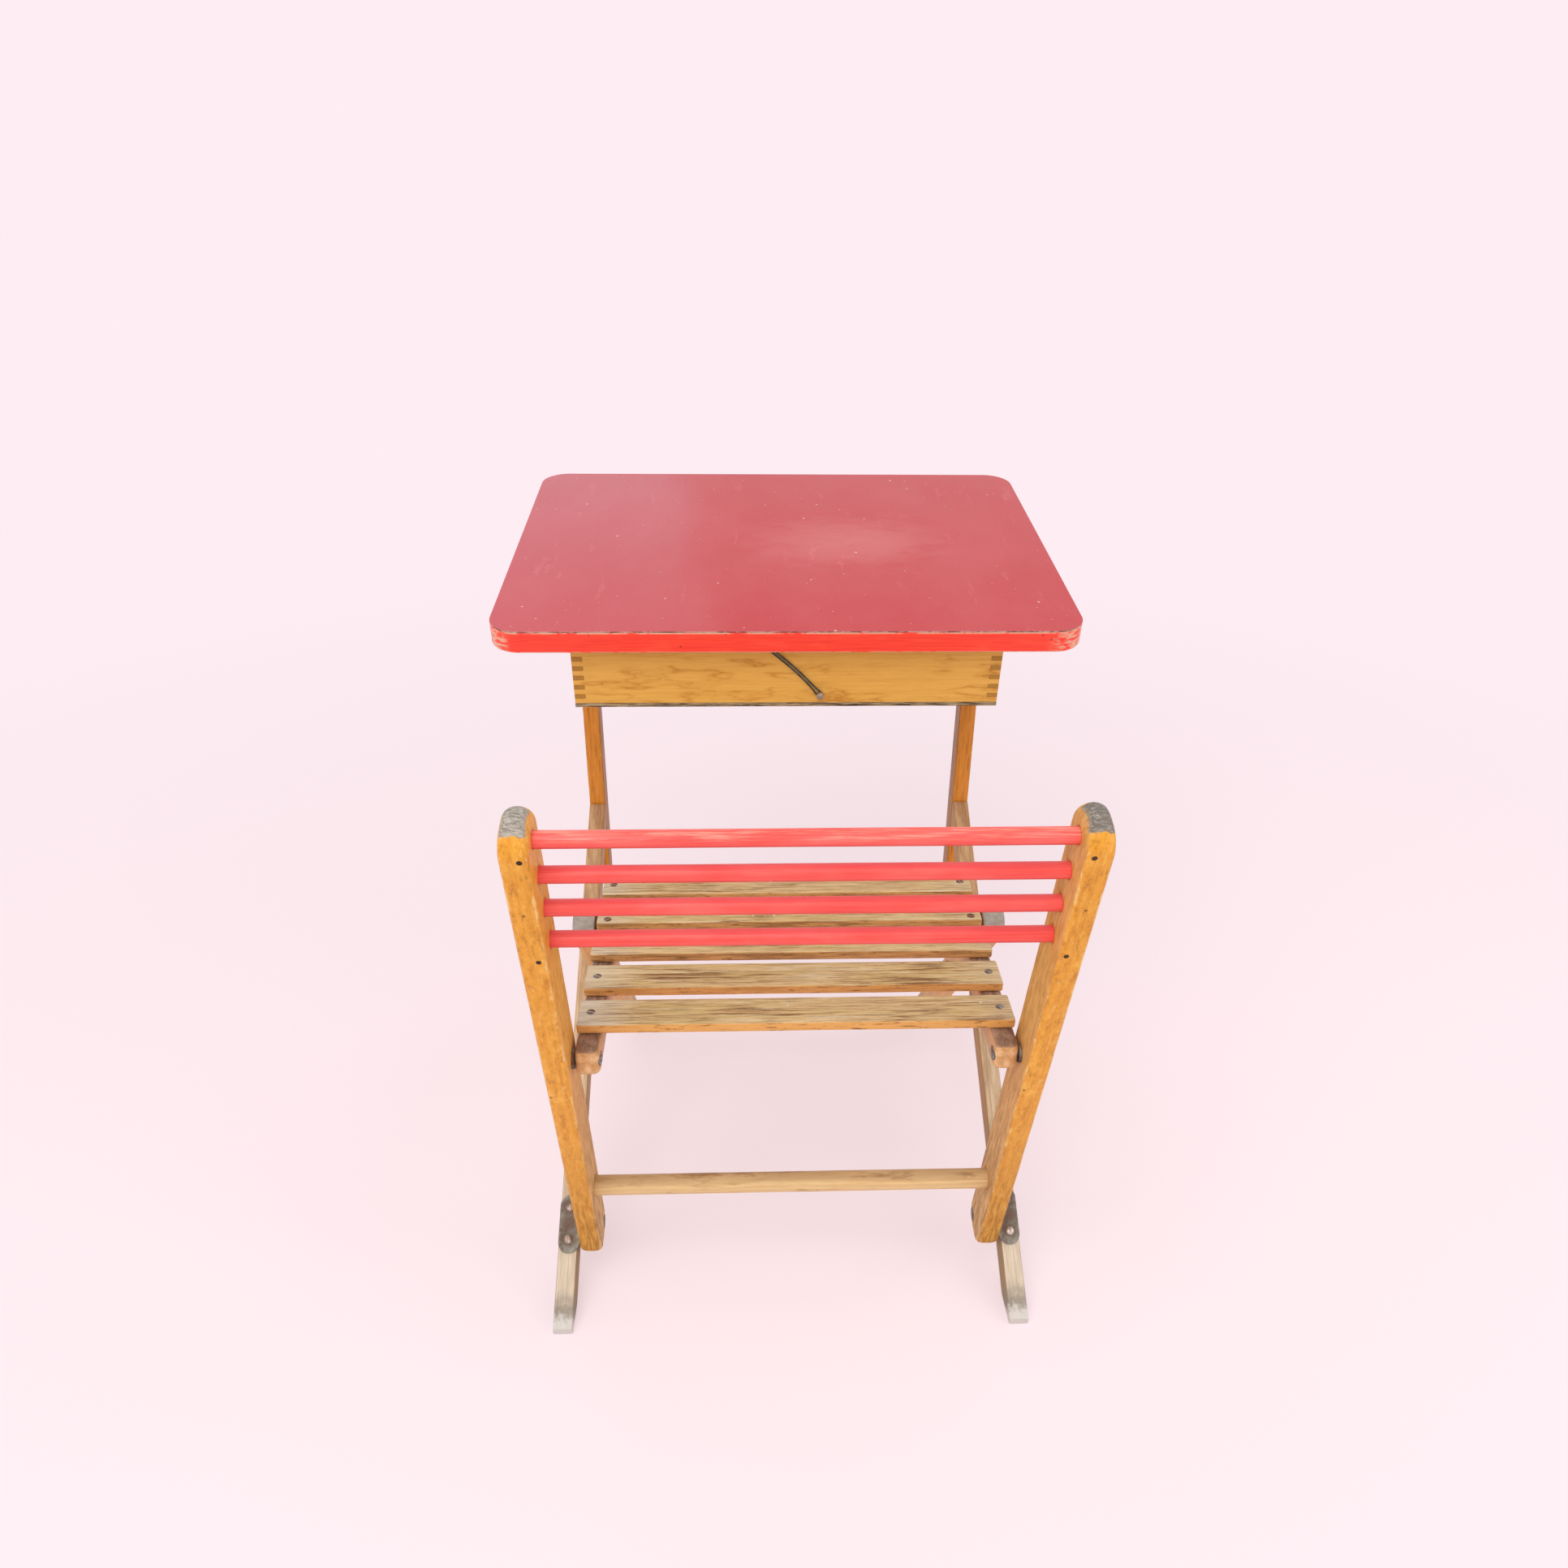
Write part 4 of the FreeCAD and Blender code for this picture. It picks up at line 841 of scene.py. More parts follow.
def slat_finish():
    wood = Timber("slat wood", seat_middle, turned(0, 90, 0), (slat_half.z, 1.0, slat_half.x),
                  tint(225, 196, 147), tint(187, 151, 99), tint(230, 211, 172),
                  ring=5.0, seed=3, wear=0.3, bands=0.3)
    steps = wood.math("DIVIDE", wood.axes[1], SLAT_STEP.y / MM)
    number = wood.math("FLOOR", wood.plus(steps, 0.5))
    spot = wood.vector("ADD", wood.place, wood.scaled(PATTERN_SHIFT, number))
    stain = wood.noise(spot, (0.04, 0.05, 0.01), 4.0, 0.6)
    olive = wood.noise(spot, (0.03, 0.05, 0.007), 3.0)
    wood.over(wood.between(olive, 0.42, 0.6, 0.0, 0.55), tint(212, 186, 122))
    line = wood.noise(spot, (0.3, 0.5, 0.019), 5.0, 0.7)
    soaked = wood.between(stain, 0.44, 0.6, 0.35, 1.0)
    thin = wood.times(wood.between(line, 0.49, 0.58, 0.0, 0.9), soaked)
    wood.over(wood.between(stain, 0.5, 0.68, 0.0, 0.4), tint(168, 122, 74), 0.65)
    wood.over(thin, tint(116, 74, 40))
    hair = wood.noise(spot, (1.1, 1.1, 0.032), 4.0, 0.75)
    wood.over(wood.between(hair, 0.5, 0.6, 0.0, 0.6), tint(148, 106, 62))
    pale = wood.noise(spot, (0.16, 0.24, 0.014), 6.0, 0.72)
    wood.over(wood.between(pale, 0.52, 0.66, 0.0, 0.65), tint(232, 214, 180), 0.7)
    ends = wood.between(wood.math("ABSOLUTE", wood.axes[2]), 128.0, 172.0, 0.0, 0.5)
    wood.over(wood.times(ends, pale), tint(198, 184, 164), 0.75)
    left_end = wood.between(wood.axes[2], -172.0, -118.0, 1.0, 0.0)
    bleached = wood.times(left_end, wood.between(number, -2.0, -1.0, 0.95, 0.5))
    bleached = wood.times(bleached, wood.between(line, 0.32, 0.52, 1.0, 0.35))
    wood.over(bleached, tint(222, 216, 206), 0.8)
    side = wood.between(wood.facing((0, 0, 1)), 0.35, 0.75, 1.0, 0.0)
    edge_tone = wood.blend(wood.figure["Fibre"], tint(244, 184, 100), tint(214, 146, 70))
    # The edges of the farther slats are painted darker as shade.
    shaded = wood.between(number, -1.6, -0.4, 0.0, 0.8)
    far_edge_shade = wood.blend(wood.between(line, 0.4, 0.6), tint(196, 142, 82), tint(128, 88, 48))
    edge_tone = wood.blend(shaded, edge_tone, far_edge_shade)
    wood.over(wood.times(side, 0.9), edge_tone, 0.5)
    low_edge = wood.times(side, wood.between(wood.axes[0], 3.0, 6.5))
    damp = wood.times(low_edge, wood.between(line, 0.45, 0.6))
    wood.over(wood.times(damp, 0.7), tint(110, 74, 36))
    bruise = wood.between(wood.noise(spot, (0.4, 0.5, 0.06), 5.0, 0.75), 0.54, 0.64, 0.0, 0.75)
    wood.over(wood.times(side, bruise), tint(112, 66, 26))
    flecks = wood.specks(spot, 8.0, 0.1)
    above = wood.minus(0.8, wood.times(side, 0.8))
    wood.over(wood.times(flecks, above), tint(236, 230, 220))
    return wood.done(0.3)


slats = grow("seat_slats", SLATS, {
    "Size": tuple(2 * slat_half), "Radius": 2.2 * MM, "Count": SLAT_COUNT, "Start": tuple(slat_middle),
    "Step": tuple(SLAT_STEP), "Uneven": 0.5 * MM, "Finish": slat_finish()})
fit(slats, "seat", "seat_wood", *[f"seat_slat_{i}" for i in range(1, SLAT_COUNT + 1)])

# %% [markdown]
# ## Seat rails
# The slats are screwed to two rails whose ends stick out behind the seat. Rain lies on those ends, so
# they are almost black on top with pale end grain below. A mask could be painted by hand; asking
# which way the surface faces, with some noise added, gives the same ragged border.

# %% Rails
RAIL_WOOD = tint(210, 158, 104)
RAIL_DEEP = tint(150, 104, 62)
RAIL_EDGE = 6 * MM


def rail_finish(name, middle, half, seed):
    wood = Timber(name, middle, turned(-90), (half.x, half.z, half.y), RAIL_WOOD, RAIL_DEEP,
                  tint(206, 170, 130), ring=5.0, seed=seed, wear=0.35)
    grime = wood.noise(wood.place, (0.12, 0.12, 0.05), 5.0, 0.7)
    shake = wood.times(wood.minus(grime, 0.5), 0.9)
    end = wood.between(wood.plus(wood.facing((0, -1, 0)), shake), 0.4, 0.7)
    end_tone = wood.blend(wood.between(grime, 0.35, 0.65), tint(202, 146, 90), tint(236, 194, 146))
    wood.over(wood.times(end, 0.85), end_tone, 0.75)
    top = wood.between(wood.plus(wood.facing((0, 0, 1)), shake), 0.5, 0.75)
    top_tone = wood.blend(wood.between(grime, 0.3, 0.7), tint(116, 86, 68), tint(186, 150, 126))
    wood.over(top, top_tone, 0.8)
    return wood.done(0.3)


for side, seed in (("left", 6), ("right", 7)):
    node = f"seat_rail_{side}"
    middle, half = middle_of(node)
    wood = rail_finish(f"rail wood {side}", middle, half, seed)
    worn_bar(node, "seat", (2 * half.x, 2 * half.z), (-half.y, half.y), middle, -math.pi / 2, wood, seed,
             RAIL_EDGE, rows=FINE_ROWS)

# %% [markdown]
# ## Rear legs
# The slanting rear legs carry everything. They are bleached on their upper faces, ashen near the floor
# with a pale tip, and still brown on their sides. Shade is painted on the sides near the floor, and
# darker on the inner faces. So the finish asks which way a face looks and how far along the leg it
# is. The bar is grown longer than the leg, and the cut to the solid gives it the flat foot and the
# tenon in the upright.

# %% Rear legs
LEG_ANGLE = 32.7
slant = math.radians(LEG_ANGLE)
LEG_NORMAL = Vector((0, -math.sin(slant), math.cos(slant)))
LEG_ALONG = Vector((0, math.cos(slant), math.sin(slant)))
leg_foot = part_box("rear_leg_right")[0]
LEG_HEEL = 8 * MM
LEG_DEPTH = 26 * MM
LEG_SPARE = 20 * MM
NO_END = 600 * MM


def leg_start(x):
    """The middle line of a rear leg, level with its heel."""
    return Vector((x, leg_foot.y, LEG_HEEL)) - LEG_NORMAL * LEG_DEPTH / 2


def rear_leg_finish(name, x, half_thick, seed):
    half = (half_thick, LEG_DEPTH / 2, NO_END)
    wood = Timber(name, leg_start(x), turned(LEG_ANGLE - 90), half, tint(222, 166, 92), tint(184, 122, 56),
                  tint(226, 194, 144), ring=6.0, seed=seed, wear=0.4)
    ragged = wood.noise(wood.place, (0.14, 0.14, 0.03), 5.0, 0.65)
    upper = wood.between(wood.facing(LEG_NORMAL), 0.45, 0.8)
    height = wood.between(wood.axes[2], 60.0, 560.0)
    pale = wood.blend(height, tint(236, 216, 186), tint(208, 168, 128))
    brown = wood.blend(height, tint(206, 180, 144), tint(172, 128, 90))
    upper_tone = wood.blend(wood.between(ragged, 0.35, 0.65), brown, pale)
    wood.over(wood.times(upper, 0.92), upper_tone, 0.75)
    strand = wood.noise(wood.place, (0.75, 0.75, 0.022), 4.0, 0.75)
    streak = wood.times(upper, wood.between(strand, 0.48, 0.6, 0.0, 0.6))
    wood.over(streak, wood.blend(height, tint(176, 160, 138), tint(150, 114, 80)))
    ashen = wood.between(wood.axes[2], 40.0, 190.0, 0.55, 0.0)
    wood.over(wood.times(upper, ashen), tint(212, 202, 188))
    sides = wood.minus(1.0, upper)
    # The inner faces are painted darker as shade.
    inner = wood.between(wood.facing((-math.copysign(1, x), 0, 0)), 0.6, 0.9, 0.0, 0.6)
    inner_shade_tone = wood.blend(wood.between(ragged, 0.35, 0.65), tint(112, 74, 32), tint(150, 104, 52))
    wood.over(inner, inner_shade_tone)
    # The sides near the floor are painted grey-brown as shade.
    low_side_shade = wood.times(wood.between(wood.axes[2], 90.0, 260.0, 0.9, 0.0), sides)
    wood.over(low_side_shade, wood.blend(ragged, tint(128, 108, 82), tint(176, 152, 118)), 0.75)
    spread = wood.noise(wood.place, (0.2, 0.2, 0.2), 5.0, 0.7)
    reach = wood.plus(wood.axes[2], wood.times(wood.minus(spread, 0.5), 26.0))
    foot = wood.between(reach, 12.0, 36.0, 0.85, 0.0)
    foot_tone = wood.blend(wood.between(reach, 4.0, 15.0), tint(214, 212, 208), tint(142, 134, 124))
    wood.over(foot, foot_tone, 0.85)
    crack = wood.noise(wood.place, (0.6, 0.6, 0.008), 3.0)
    split = wood.times(wood.between(crack, 0.6, 0.68), upper)
    wood.over(wood.times(split, 0.35), tint(120, 98, 72))
    return wood.done(0.3)


for side, seed in (("left", 8), ("right", 9)):
    node = f"rear_leg_{side}"
    middle, half = middle_of(node)
    run = 2 * half.y / math.cos(slant)
    wood = rear_leg_finish(f"rear leg wood {side}", middle.x, half.x, seed)
    worn_bar(node, "desk_frame", (2 * half.x, LEG_DEPTH), (-LEG_SPARE, run + LEG_SPARE),
             leg_start(middle.x), slant - math.pi / 2, wood, seed)

# %% [markdown]
# ## Uprights and front legs
# The uprights hold the desk by one bolt each. They kept a deep orange varnish with dark smears, and
# their inner faces lie in shade. The front legs cross the rear ones under the seat; only their grey
# tops show in the photograph, so below they are worn like the other legs. Both follow the bar rule.

# %% Uprights and front legs
FRONT_ANGLE = 48.7
FRONT_DEPTH = 28 * MM
front_slant = math.radians(FRONT_ANGLE)
FRONT_UP = Vector((0, -math.cos(front_slant), math.sin(front_slant)))


def upright_finish(name, node, seed):
    middle, half = middle_of(node)
    wood = Timber(name, middle, turned(), half, tint(216, 138, 44), tint(172, 98, 22), tint(222, 172, 104),
                  ring=6.0, seed=seed, wear=0.45)
    cloud = wood.noise(wood.place, (0.1, 0.1, 0.03), 5.0, 0.65)
    wood.over(wood.between(cloud, 0.5, 0.7, 0.0, 0.5), tint(232, 160, 66))
    smear = wood.noise(wood.place, (0.3, 0.3, 0.02), 5.0, 0.7)
    wood.over(wood.between(smear, 0.52, 0.66, 0.0, 0.6), tint(146, 82, 22))
    wood.over(wood.between(smear, 0.3, 0.42, 0.4, 0.0), tint(240, 182, 98))
    # The inner faces are painted darker as shade.
    inner = wood.between(wood.facing((-math.copysign(1, middle.x), 0, 0)), 0.6, 0.9, 0.0, 0.65)
    inner_shade_tone = wood.blend(wood.between(smear, 0.36, 0.64), tint(142, 92, 34), tint(104, 66, 24))
    wood.over(inner, inner_shade_tone)
    return wood.done()


def front_leg_pivot(x):
    """Where the bolt of a crossing pair meets the front leg's middle line."""
    return Vector((x, *PIVOT["chair_fold"].yz))


def front_leg_finish(name, x, half_thick, seed):
    half = (half_thick, FRONT_DEPTH / 2, NO_END)
    wood = Timber(name, front_leg_pivot(x), turned(90 - FRONT_ANGLE), half, tint(220, 162, 88),
                  tint(178, 114, 48), tint(222, 188, 134), ring=6.0, seed=seed, wear=0.45)
    ragged = wood.noise(wood.place, (0.14, 0.14, 0.04), 5.0, 0.65)
    crown = wood.between(wood.axes[2], 176.0, 186.0)
    grey = wood.times(crown, wood.between(wood.facing(FRONT_UP), 0.1, 0.35))
    wood.over(grey, wood.blend(ragged, GREY_DARK, GREY_GRAIN), 0.85)
    reach = wood.plus(wood.axes[2], wood.times(ragged, 60.0))
    wood.over(wood.between(reach, -190.0, -120.0, 0.8, 0.0), tint(178, 160, 132), 0.8)
    return wood.done(0.25)


for side, seed in (("left", 10), ("right", 11)):
    node = f"desk_upright_{side}"
    middle, half = middle_of(node)
    wood = upright_finish(f"upright varnish {side}", node, seed)
    worn_bar(node, "desk_frame", (2 * half.x, 2 * half.y), (-half.z, half.z), middle, 0.0, wood, seed,
             rounding=1.0)
    node = f"front_leg_{side}"
    middle, half = middle_of(node)
    run = 2 * half.z / math.sin(front_slant)
    wood = front_leg_finish(f"front leg wood {side}", middle.x, half.x, seed + 2)
    worn_bar(node, "front_legs", (2 * half.x, FRONT_DEPTH), (-run, run), front_leg_pivot(middle.x),
             math.pi / 2 - front_slant, wood, seed + 2)

# %% [markdown]
# ## Desk box
# Four softwood walls meet in finger joints. They could be grown like the bars, but the fingers belong
# to the solid model, so each wall is a copy of its solid with the loose triangles merged and the sharp
# edges broken, and the joints catch a line of light. The end grain of the fingers soaked up more
# varnish and is much darker.

# %% Box walls
DESK_SLOPE = 7.7
slope = math.radians(DESK_SLOPE)
DESK_UP = Vector((0, -math.sin(slope), math.cos(slope)))
DESK_AHEAD = Vector((0, math.cos(slope), math.sin(slope)))
BOX_LIGHT = tint(230, 177, 84)
BOX_DEEP = tint(202, 144, 54)
END_GRAIN = tint(132, 88, 32)
BOX_NEAR = -187 * MM
BOX_FAR = 163 * MM
BOX_HALF = 196 * MM
BOX_MIDDLE = (BOX_NEAR + BOX_FAR) / 2
BOX_HALF_DEPTH = (BOX_FAR - BOX_NEAR) / 2
WALL_RISE = 4.5 * MM
WALL_HALF_HEIGHT = 31.5 * MM
WALL_EDGE = 0.5 * MM
FLAT_ANGLE = math.radians(1)
BREAK_ANGLE = math.radians(40)


def softened(node, name, width, finish):
    """A copy of a solid with merged points, broken edges and a finish."""
    mesh = merged(node)
    mesh.name = name
    shape = bmesh.new()
    shape.from_mesh(mesh)
    bmesh.ops.dissolve_limit(shape, angle_limit=FLAT_ANGLE, verts=shape.verts, edges=shape.edges)
    sharp = [edge for edge in shape.edges if edge.is_manifold and edge.calc_face_angle(0) > BREAK_ANGLE]
    bmesh.ops.bevel(shape, geom=sharp, offset=width, segments=2, profile=0.5, affect="EDGES")
    shape.to_mesh(mesh)
    shape.free()
    coat(mesh, finish)
    print(name, len(mesh.polygons), "faces")
    return put(name, mesh)


def box_point(along, above):
    """A point of the sloping desk, from its pivot."""
    return PIVOT["desk_tilt"] + DESK_AHEAD * along + DESK_UP * above


ALONG_X = (Matrix.Rotation(slope, 3, "X") @ Matrix.Rotation(math.pi / 2, 3, "Y")).to_euler()
ALONG_Y = turned(DESK_SLOPE - 90)


def wall_finish(name, along_x, seed):
    centre = box_point(BOX_MIDDLE, WALL_RISE)
    if along_x:
        turn, half, end_way = ALONG_X, (WALL_HALF_HEIGHT, BOX_HALF_DEPTH, BOX_HALF), (1, 0, 0)
    else:
        turn, half, end_way = ALONG_Y, (BOX_HALF, WALL_HALF_HEIGHT, BOX_HALF_DEPTH), DESK_AHEAD
    wood = Timber(name, centre, turn, half, BOX_LIGHT, BOX_DEEP, tint(226, 184, 110),
                  ring=9.0, seed=seed, wear=0.3, bands=0.12)
    flame = wood.noise(wood.place, (0.036, 0.036, 0.008), 4.0, 0.55)
    wave = wood.math("FRACT", wood.times(flame, 5.5))
    band = wood.math("ABSOLUTE", wood.minus(wave, 0.5))
    cloud = wood.noise(wood.place, (0.03, 0.03, 0.02), 4.0)
    thick = wood.between(cloud, 0.4, 0.62, 0.1, 0.8)
    wood.over(wood.times(wood.between(band, 0.0, 0.06, 0.75, 0.0), thick), tint(160, 104, 34))
    wood.over(wood.times(wood.between(band, 0.0, 0.3, 0.7, 0.0), thick), tint(196, 130, 40))
    tip = wood.between(wood.math("ABSOLUTE", wood.facing(end_way)), 0.7, 0.9, 0.0, 0.8)
    wood.over(tip, wood.blend(wood.figure["Fibre"], END_GRAIN, tint(182, 128, 54)), 0.7)
    return wood.done(0.2)


walls = {"box_front": (True, 14), "box_back": (True, 15), "box_left": (False, 16), "box_right": (False, 17)}
for node, (along_x, seed) in walls.items():
    finish = wall_finish(node.replace("_", " ") + " wood", along_x, seed)
    fit(softened(node, node + "_board", WALL_EDGE, finish), "desk_box", "box_wood", node)

# %% [markdown]
# ## Bottom and stops
# The bottom is a thin raw board whose cut edge is frayed and dark. Two small blocks on the sides of
# the box lean on the uprights and hold the slope; they are varnished like the uprights, so they use
# the same finish.

# %% Bottom and stops
BOTTOM_RISE = -29 * MM
BOTTOM_HALF = 2 * MM
STOP_EDGE = 1.2 * MM


def bottom_finish():
    half = (BOTTOM_HALF, BOX_HALF_DEPTH, BOX_HALF)
    wood = Timber("bottom board", box_point(BOX_MIDDLE, BOTTOM_RISE), ALONG_X, half, tint(172, 140, 98),
                  tint(120, 88, 54), tint(150, 130, 100), ring=14.0, seed=18, wear=0.3)
    side = wood.between(wood.math("ABSOLUTE", wood.facing(DESK_UP)), 0.4, 0.8, 1.0, 0.0)
    frayed = wood.noise(wood.place, (1.2, 0.1, 0.05), 5.0, 0.7)
    side_tone = wood.blend(wood.between(frayed, 0.4, 0.62), tint(70, 56, 42), tint(190, 168, 130))
    wood.over(side, side_tone, 0.85)
    return wood.done(0.25)


dress(bottom_finish(), "box_bottom")
for side, seed in (("left", 19), ("right", 20)):
    node = f"desk_stop_{side}"
    stop = softened(node, node + "_wood", STOP_EDGE, upright_finish(f"stop wood {side}", node, seed))
    fit(stop, "desk_box", "varnished_wood", node)

# %% [markdown]
# ## Desk top
# The top is a board with a painted edge under a sheet of hard red laminate. The sheet is glossy
# under years of dust: a pale cloud right of the middle, fine scuffs and white specks. Its cut edge
# shows as a thin dark line. The paint on the board's edge is brighter, and it is chipped along its
# borders and at the two near corners. Both pieces keep the solid's shape, so the wear is all in nodes.

# %% Laminate and edge
TOP_MIDDLE = -12 * MM
SHEET_RISE = 57 * MM
EDGE_RISE = 46 * MM
CLOUD_PLACE = (66.0, 2.0, 0.0)
CLOUD_REACH = (1 / 116, 1 / 74, 0.0)
NEAR_SIDE = -186.0
CHIPPED_CORNERS = ((258.0, 34.0), (-258.0, 18.0))


def sheet_finish():
    sheet = Finish("red sheet", box_point(TOP_MIDDLE, SHEET_RISE), turned(DESK_SLOPE))
    base = tint(192, 36, 40)
    veil = sheet.noise(sheet.place, (0.008, 0.006, 0.008), 4.0, 0.6)
    fine = sheet.noise(sheet.place, (0.9, 0.9, 0.9), 3.0, 0.7)
    scuff = sheet.noise(sheet.place, (0.05, 0.011, 0.05), 5.0, 0.7)
    colour = sheet.blend(sheet.between(veil, 0.35, 0.7, 0.02, 0.2), base, tint(210, 104, 108))
    colour = sheet.blend(sheet.between(fine, 0.55, 0.75, 0.0, 0.12), colour, tint(232, 170, 172))
    colour = sheet.blend(sheet.between(scuff, 0.58, 0.72, 0.0, 0.2), colour, tint(226, 140, 142))
    middle = sheet.vector("MULTIPLY", sheet.vector("SUBTRACT", sheet.place, CLOUD_PLACE), CLOUD_REACH)
    feather = sheet.noise(sheet.place, (0.02, 0.045, 0.02), 6.0, 0.65)
    ring = sheet.plus(sheet.vector("LENGTH", middle), sheet.times(feather, 1.6))
    wisps = sheet.between(feather, 0.25, 0.6, 0.5, 1.0)
    cloud = sheet.times(sheet.between(ring, 0.9, 1.9, 0.34, 0.0), wisps)
    colour = sheet.blend(cloud, colour, tint(228, 142, 138))
    specks = sheet.specks(sheet.place, 8.0, 0.05)
    small = sheet.specks(sheet.place, 4.0, 0.06)
    dust = sheet.math("MAXIMUM", sheet.times(specks, 0.6), sheet.times(small, 0.5))
    colour = sheet.blend(dust, colour, tint(240, 214, 212))
    side = sheet.between(sheet.facing(DESK_UP), 0.5, 0.8, 1.0, 0.0)
    chip = sheet.noise(sheet.place, (0.12, 0.12, 0.4), 5.0, 0.7)
    rim = sheet.blend(sheet.between(chip, 0.4, 0.6), tint(96, 68, 60), tint(196, 164, 150))
    colour = sheet.blend(side, colour, rim)
    rough = sheet.between(sheet.plus(fine, scuff), 0.8, 1.3, 0.13, 0.26)
    return sheet.close(colour, rough, fine, 0.04, IOR=1.5)


def edge_finish():
    paint = Finish("red edge paint", box_point(TOP_MIDDLE, EDGE_RISE), turned(DESK_SLOPE))
    brush = paint.noise(paint.place, (0.02, 0.02, 0.7), 4.0, 0.6)
    cloud = paint.noise(paint.place, (0.03, 0.03, 0.1), 4.0)
    colour = paint.blend(paint.between(brush, 0.4, 0.7), tint(250, 62, 36), tint(236, 44, 28))
    colour = paint.blend(paint.between(cloud, 0.5, 0.7, 0.0, 0.5), colour, tint(252, 82, 52))
    chip = paint.noise(paint.place, (0.1, 0.1, 0.35), 5.0, 0.7)
    low = paint.between(paint.axes[2], -9.5, -8.0, 1.0, 0.0)
    high = paint.between(paint.axes[2], 8.0, 9.6)
    near = paint.between(paint.facing(-DESK_AHEAD), 0.5, 0.9, 0.0, 0.1)
    scraped = paint.between(paint.plus(chip, near), 0.5, 0.58)
    worn = paint.times(paint.math("MAXIMUM", low, high), scraped)
    for corner, reach in CHIPPED_CORNERS:
        away = paint.vector("LENGTH", paint.vector("SUBTRACT", paint.place, (corner, NEAR_SIDE, 0.0)))
        hurt = paint.times(paint.between(away, 8.0, reach, 1.0, 0.0), paint.between(chip, 0.45, 0.55))
        worn = paint.math("MAXIMUM", worn, hurt)
    colour = paint.blend(worn, colour, tint(226, 170, 140))
    specks = paint.specks(paint.place, 8.0, 0.12)
    colour = paint.blend(paint.times(specks, 0.8), colour, tint(140, 24, 22))
    under = paint.between(paint.facing(DESK_UP), -0.8, -0.5, 1.0, 0.0)
    grain = paint.noise(paint.place, (0.01, 0.3, 0.3), 5.0, 0.6)
    colour = paint.blend(under, colour, paint.blend(grain, tint(150, 104, 60), tint(206, 166, 112)))
    return paint.close(colour, paint.between(cloud, 0.3, 0.7, 0.32, 0.5), brush, 0.2)


dress(sheet_finish(), "top_laminate")
dress(edge_finish(), "top_panel")
print("top dressed")

# %% [markdown]
# ## Metal
# Zinc hinges and plates and steel bolts have gone dull with patches of rust, and the hook is plain dark
# wire. One finish with a few colours and a share of rust serves them all. Where a list of places is
# given, brown water stains spread around them.

# %% Metal finishes
def metal_finish(name, clean, tarnish, rust, rust_share, roughness, centre=(0, 0, 0), turn=(0, 0, 0),
                 stains=()):
    metal = Finish(name, centre, turn)
    cloud = metal.noise(metal.place, (0.12, 0.12, 0.12), 5.0, 0.65)
    fine = metal.noise(metal.place, (0.9, 0.9, 0.9), 4.0, 0.7)
    colour = metal.blend(metal.between(cloud, 0.35, 0.65), clean, tarnish)
    patch = metal.noise(metal.place, (0.07, 0.07, 0.07), 6.0, 0.7)
    spread = rust_share * 0.36
    mask = metal.between(patch, 0.66 - spread, 0.84 - spread)
    mottle = metal.between(fine, 0.3, 0.6, 0.5, 1.0)
    for stain in stains:
        away = metal.vector("LENGTH", metal.vector("SUBTRACT", metal.place, stain))
        away = metal.plus(away, metal.times(patch, 12.0))
        soaked = metal.times(metal.between(away, 8.0, 19.0, 0.95, 0.0), mottle)
        mask = metal.math("MAXIMUM", mask, soaked)
    dark_rust = [value * 0.5 for value in rust[:3]] + [1.0]
    colour = metal.blend(mask, colour, metal.blend(fine, rust, dark_rust))
    rough = metal.between(mask, 0.0, 1.0, roughness, 0.85)
    shine = metal.between(mask, 0.0, 1.0, 0.75, 0.1)
    return metal.close(colour, rough, fine, 0.12, Metallic=shine)


ZINC_CLEAN = tint(152, 156, 144)
ZINC_DULL = tint(116, 118, 106)
ZINC = metal_finish("dull zinc", ZINC_CLEAN, ZINC_DULL, tint(122, 96, 80), 0.5, 0.6)
BOLT_STEEL = metal_finish("bolt steel", tint(150, 150, 146), tint(96, 94, 90), tint(120, 66, 36), 0.6, 0.45)
RUSTY = metal_finish("rusty screw", tint(206, 196, 186), tint(150, 132, 118), tint(118, 80, 60), 0.34, 0.4)
IRON = metal_finish("nail iron", tint(84, 62, 42), tint(58, 42, 30), tint(84, 52, 30), 0.6, 0.6)
WIRE = metal_finish("dark wire", tint(92, 98, 98), tint(56, 60, 62), tint(86, 66, 52), 0.3, 0.42)
dress(BOLT_STEEL, "back_pivot_bolts", "leg_pivot_bolts", "desk_pivot_bolts", "frame_nuts",
      "seat_front_bolts", "seat_front_nuts", "seat_pivot_bolts", "seat_pivot_nuts", "pivot_washers")
dress(ZINC, "box_hinge_leaves", "lid_hinge_leaves", "hinge_pins")
print("metals", [finish.name for finish in (ZINC, BOLT_STEEL, RUSTY, IRON, WIRE)])

# %% [markdown]
# ## Pivot plates
# A folded zinc plate on each rear leg holds the foot of a back post. Rust from its two screws has run
# together into one soft brown patch, so the stains lie at the screws and half way between them.

# %% Pivot plates
PLATE_RUN = 89 * MM
PLATE_GAP = 28 * MM
PLATE_THICK = 2 * MM
PLATE_EDGE = 0.35 * MM
PLATE_STAINS = [(0, 0, share * PLATE_GAP / MM) for share in (-0.5, 0, 0.5)]


def plate_middle(side):
    """The middle of a pivot plate, on the upper face of a rear leg."""
    heel = Vector((middle_of(f"rear_leg_{side}")[0].x, leg_foot.y, LEG_HEEL))
    return heel + LEG_ALONG * PLATE_RUN + LEG_NORMAL * PLATE_THICK


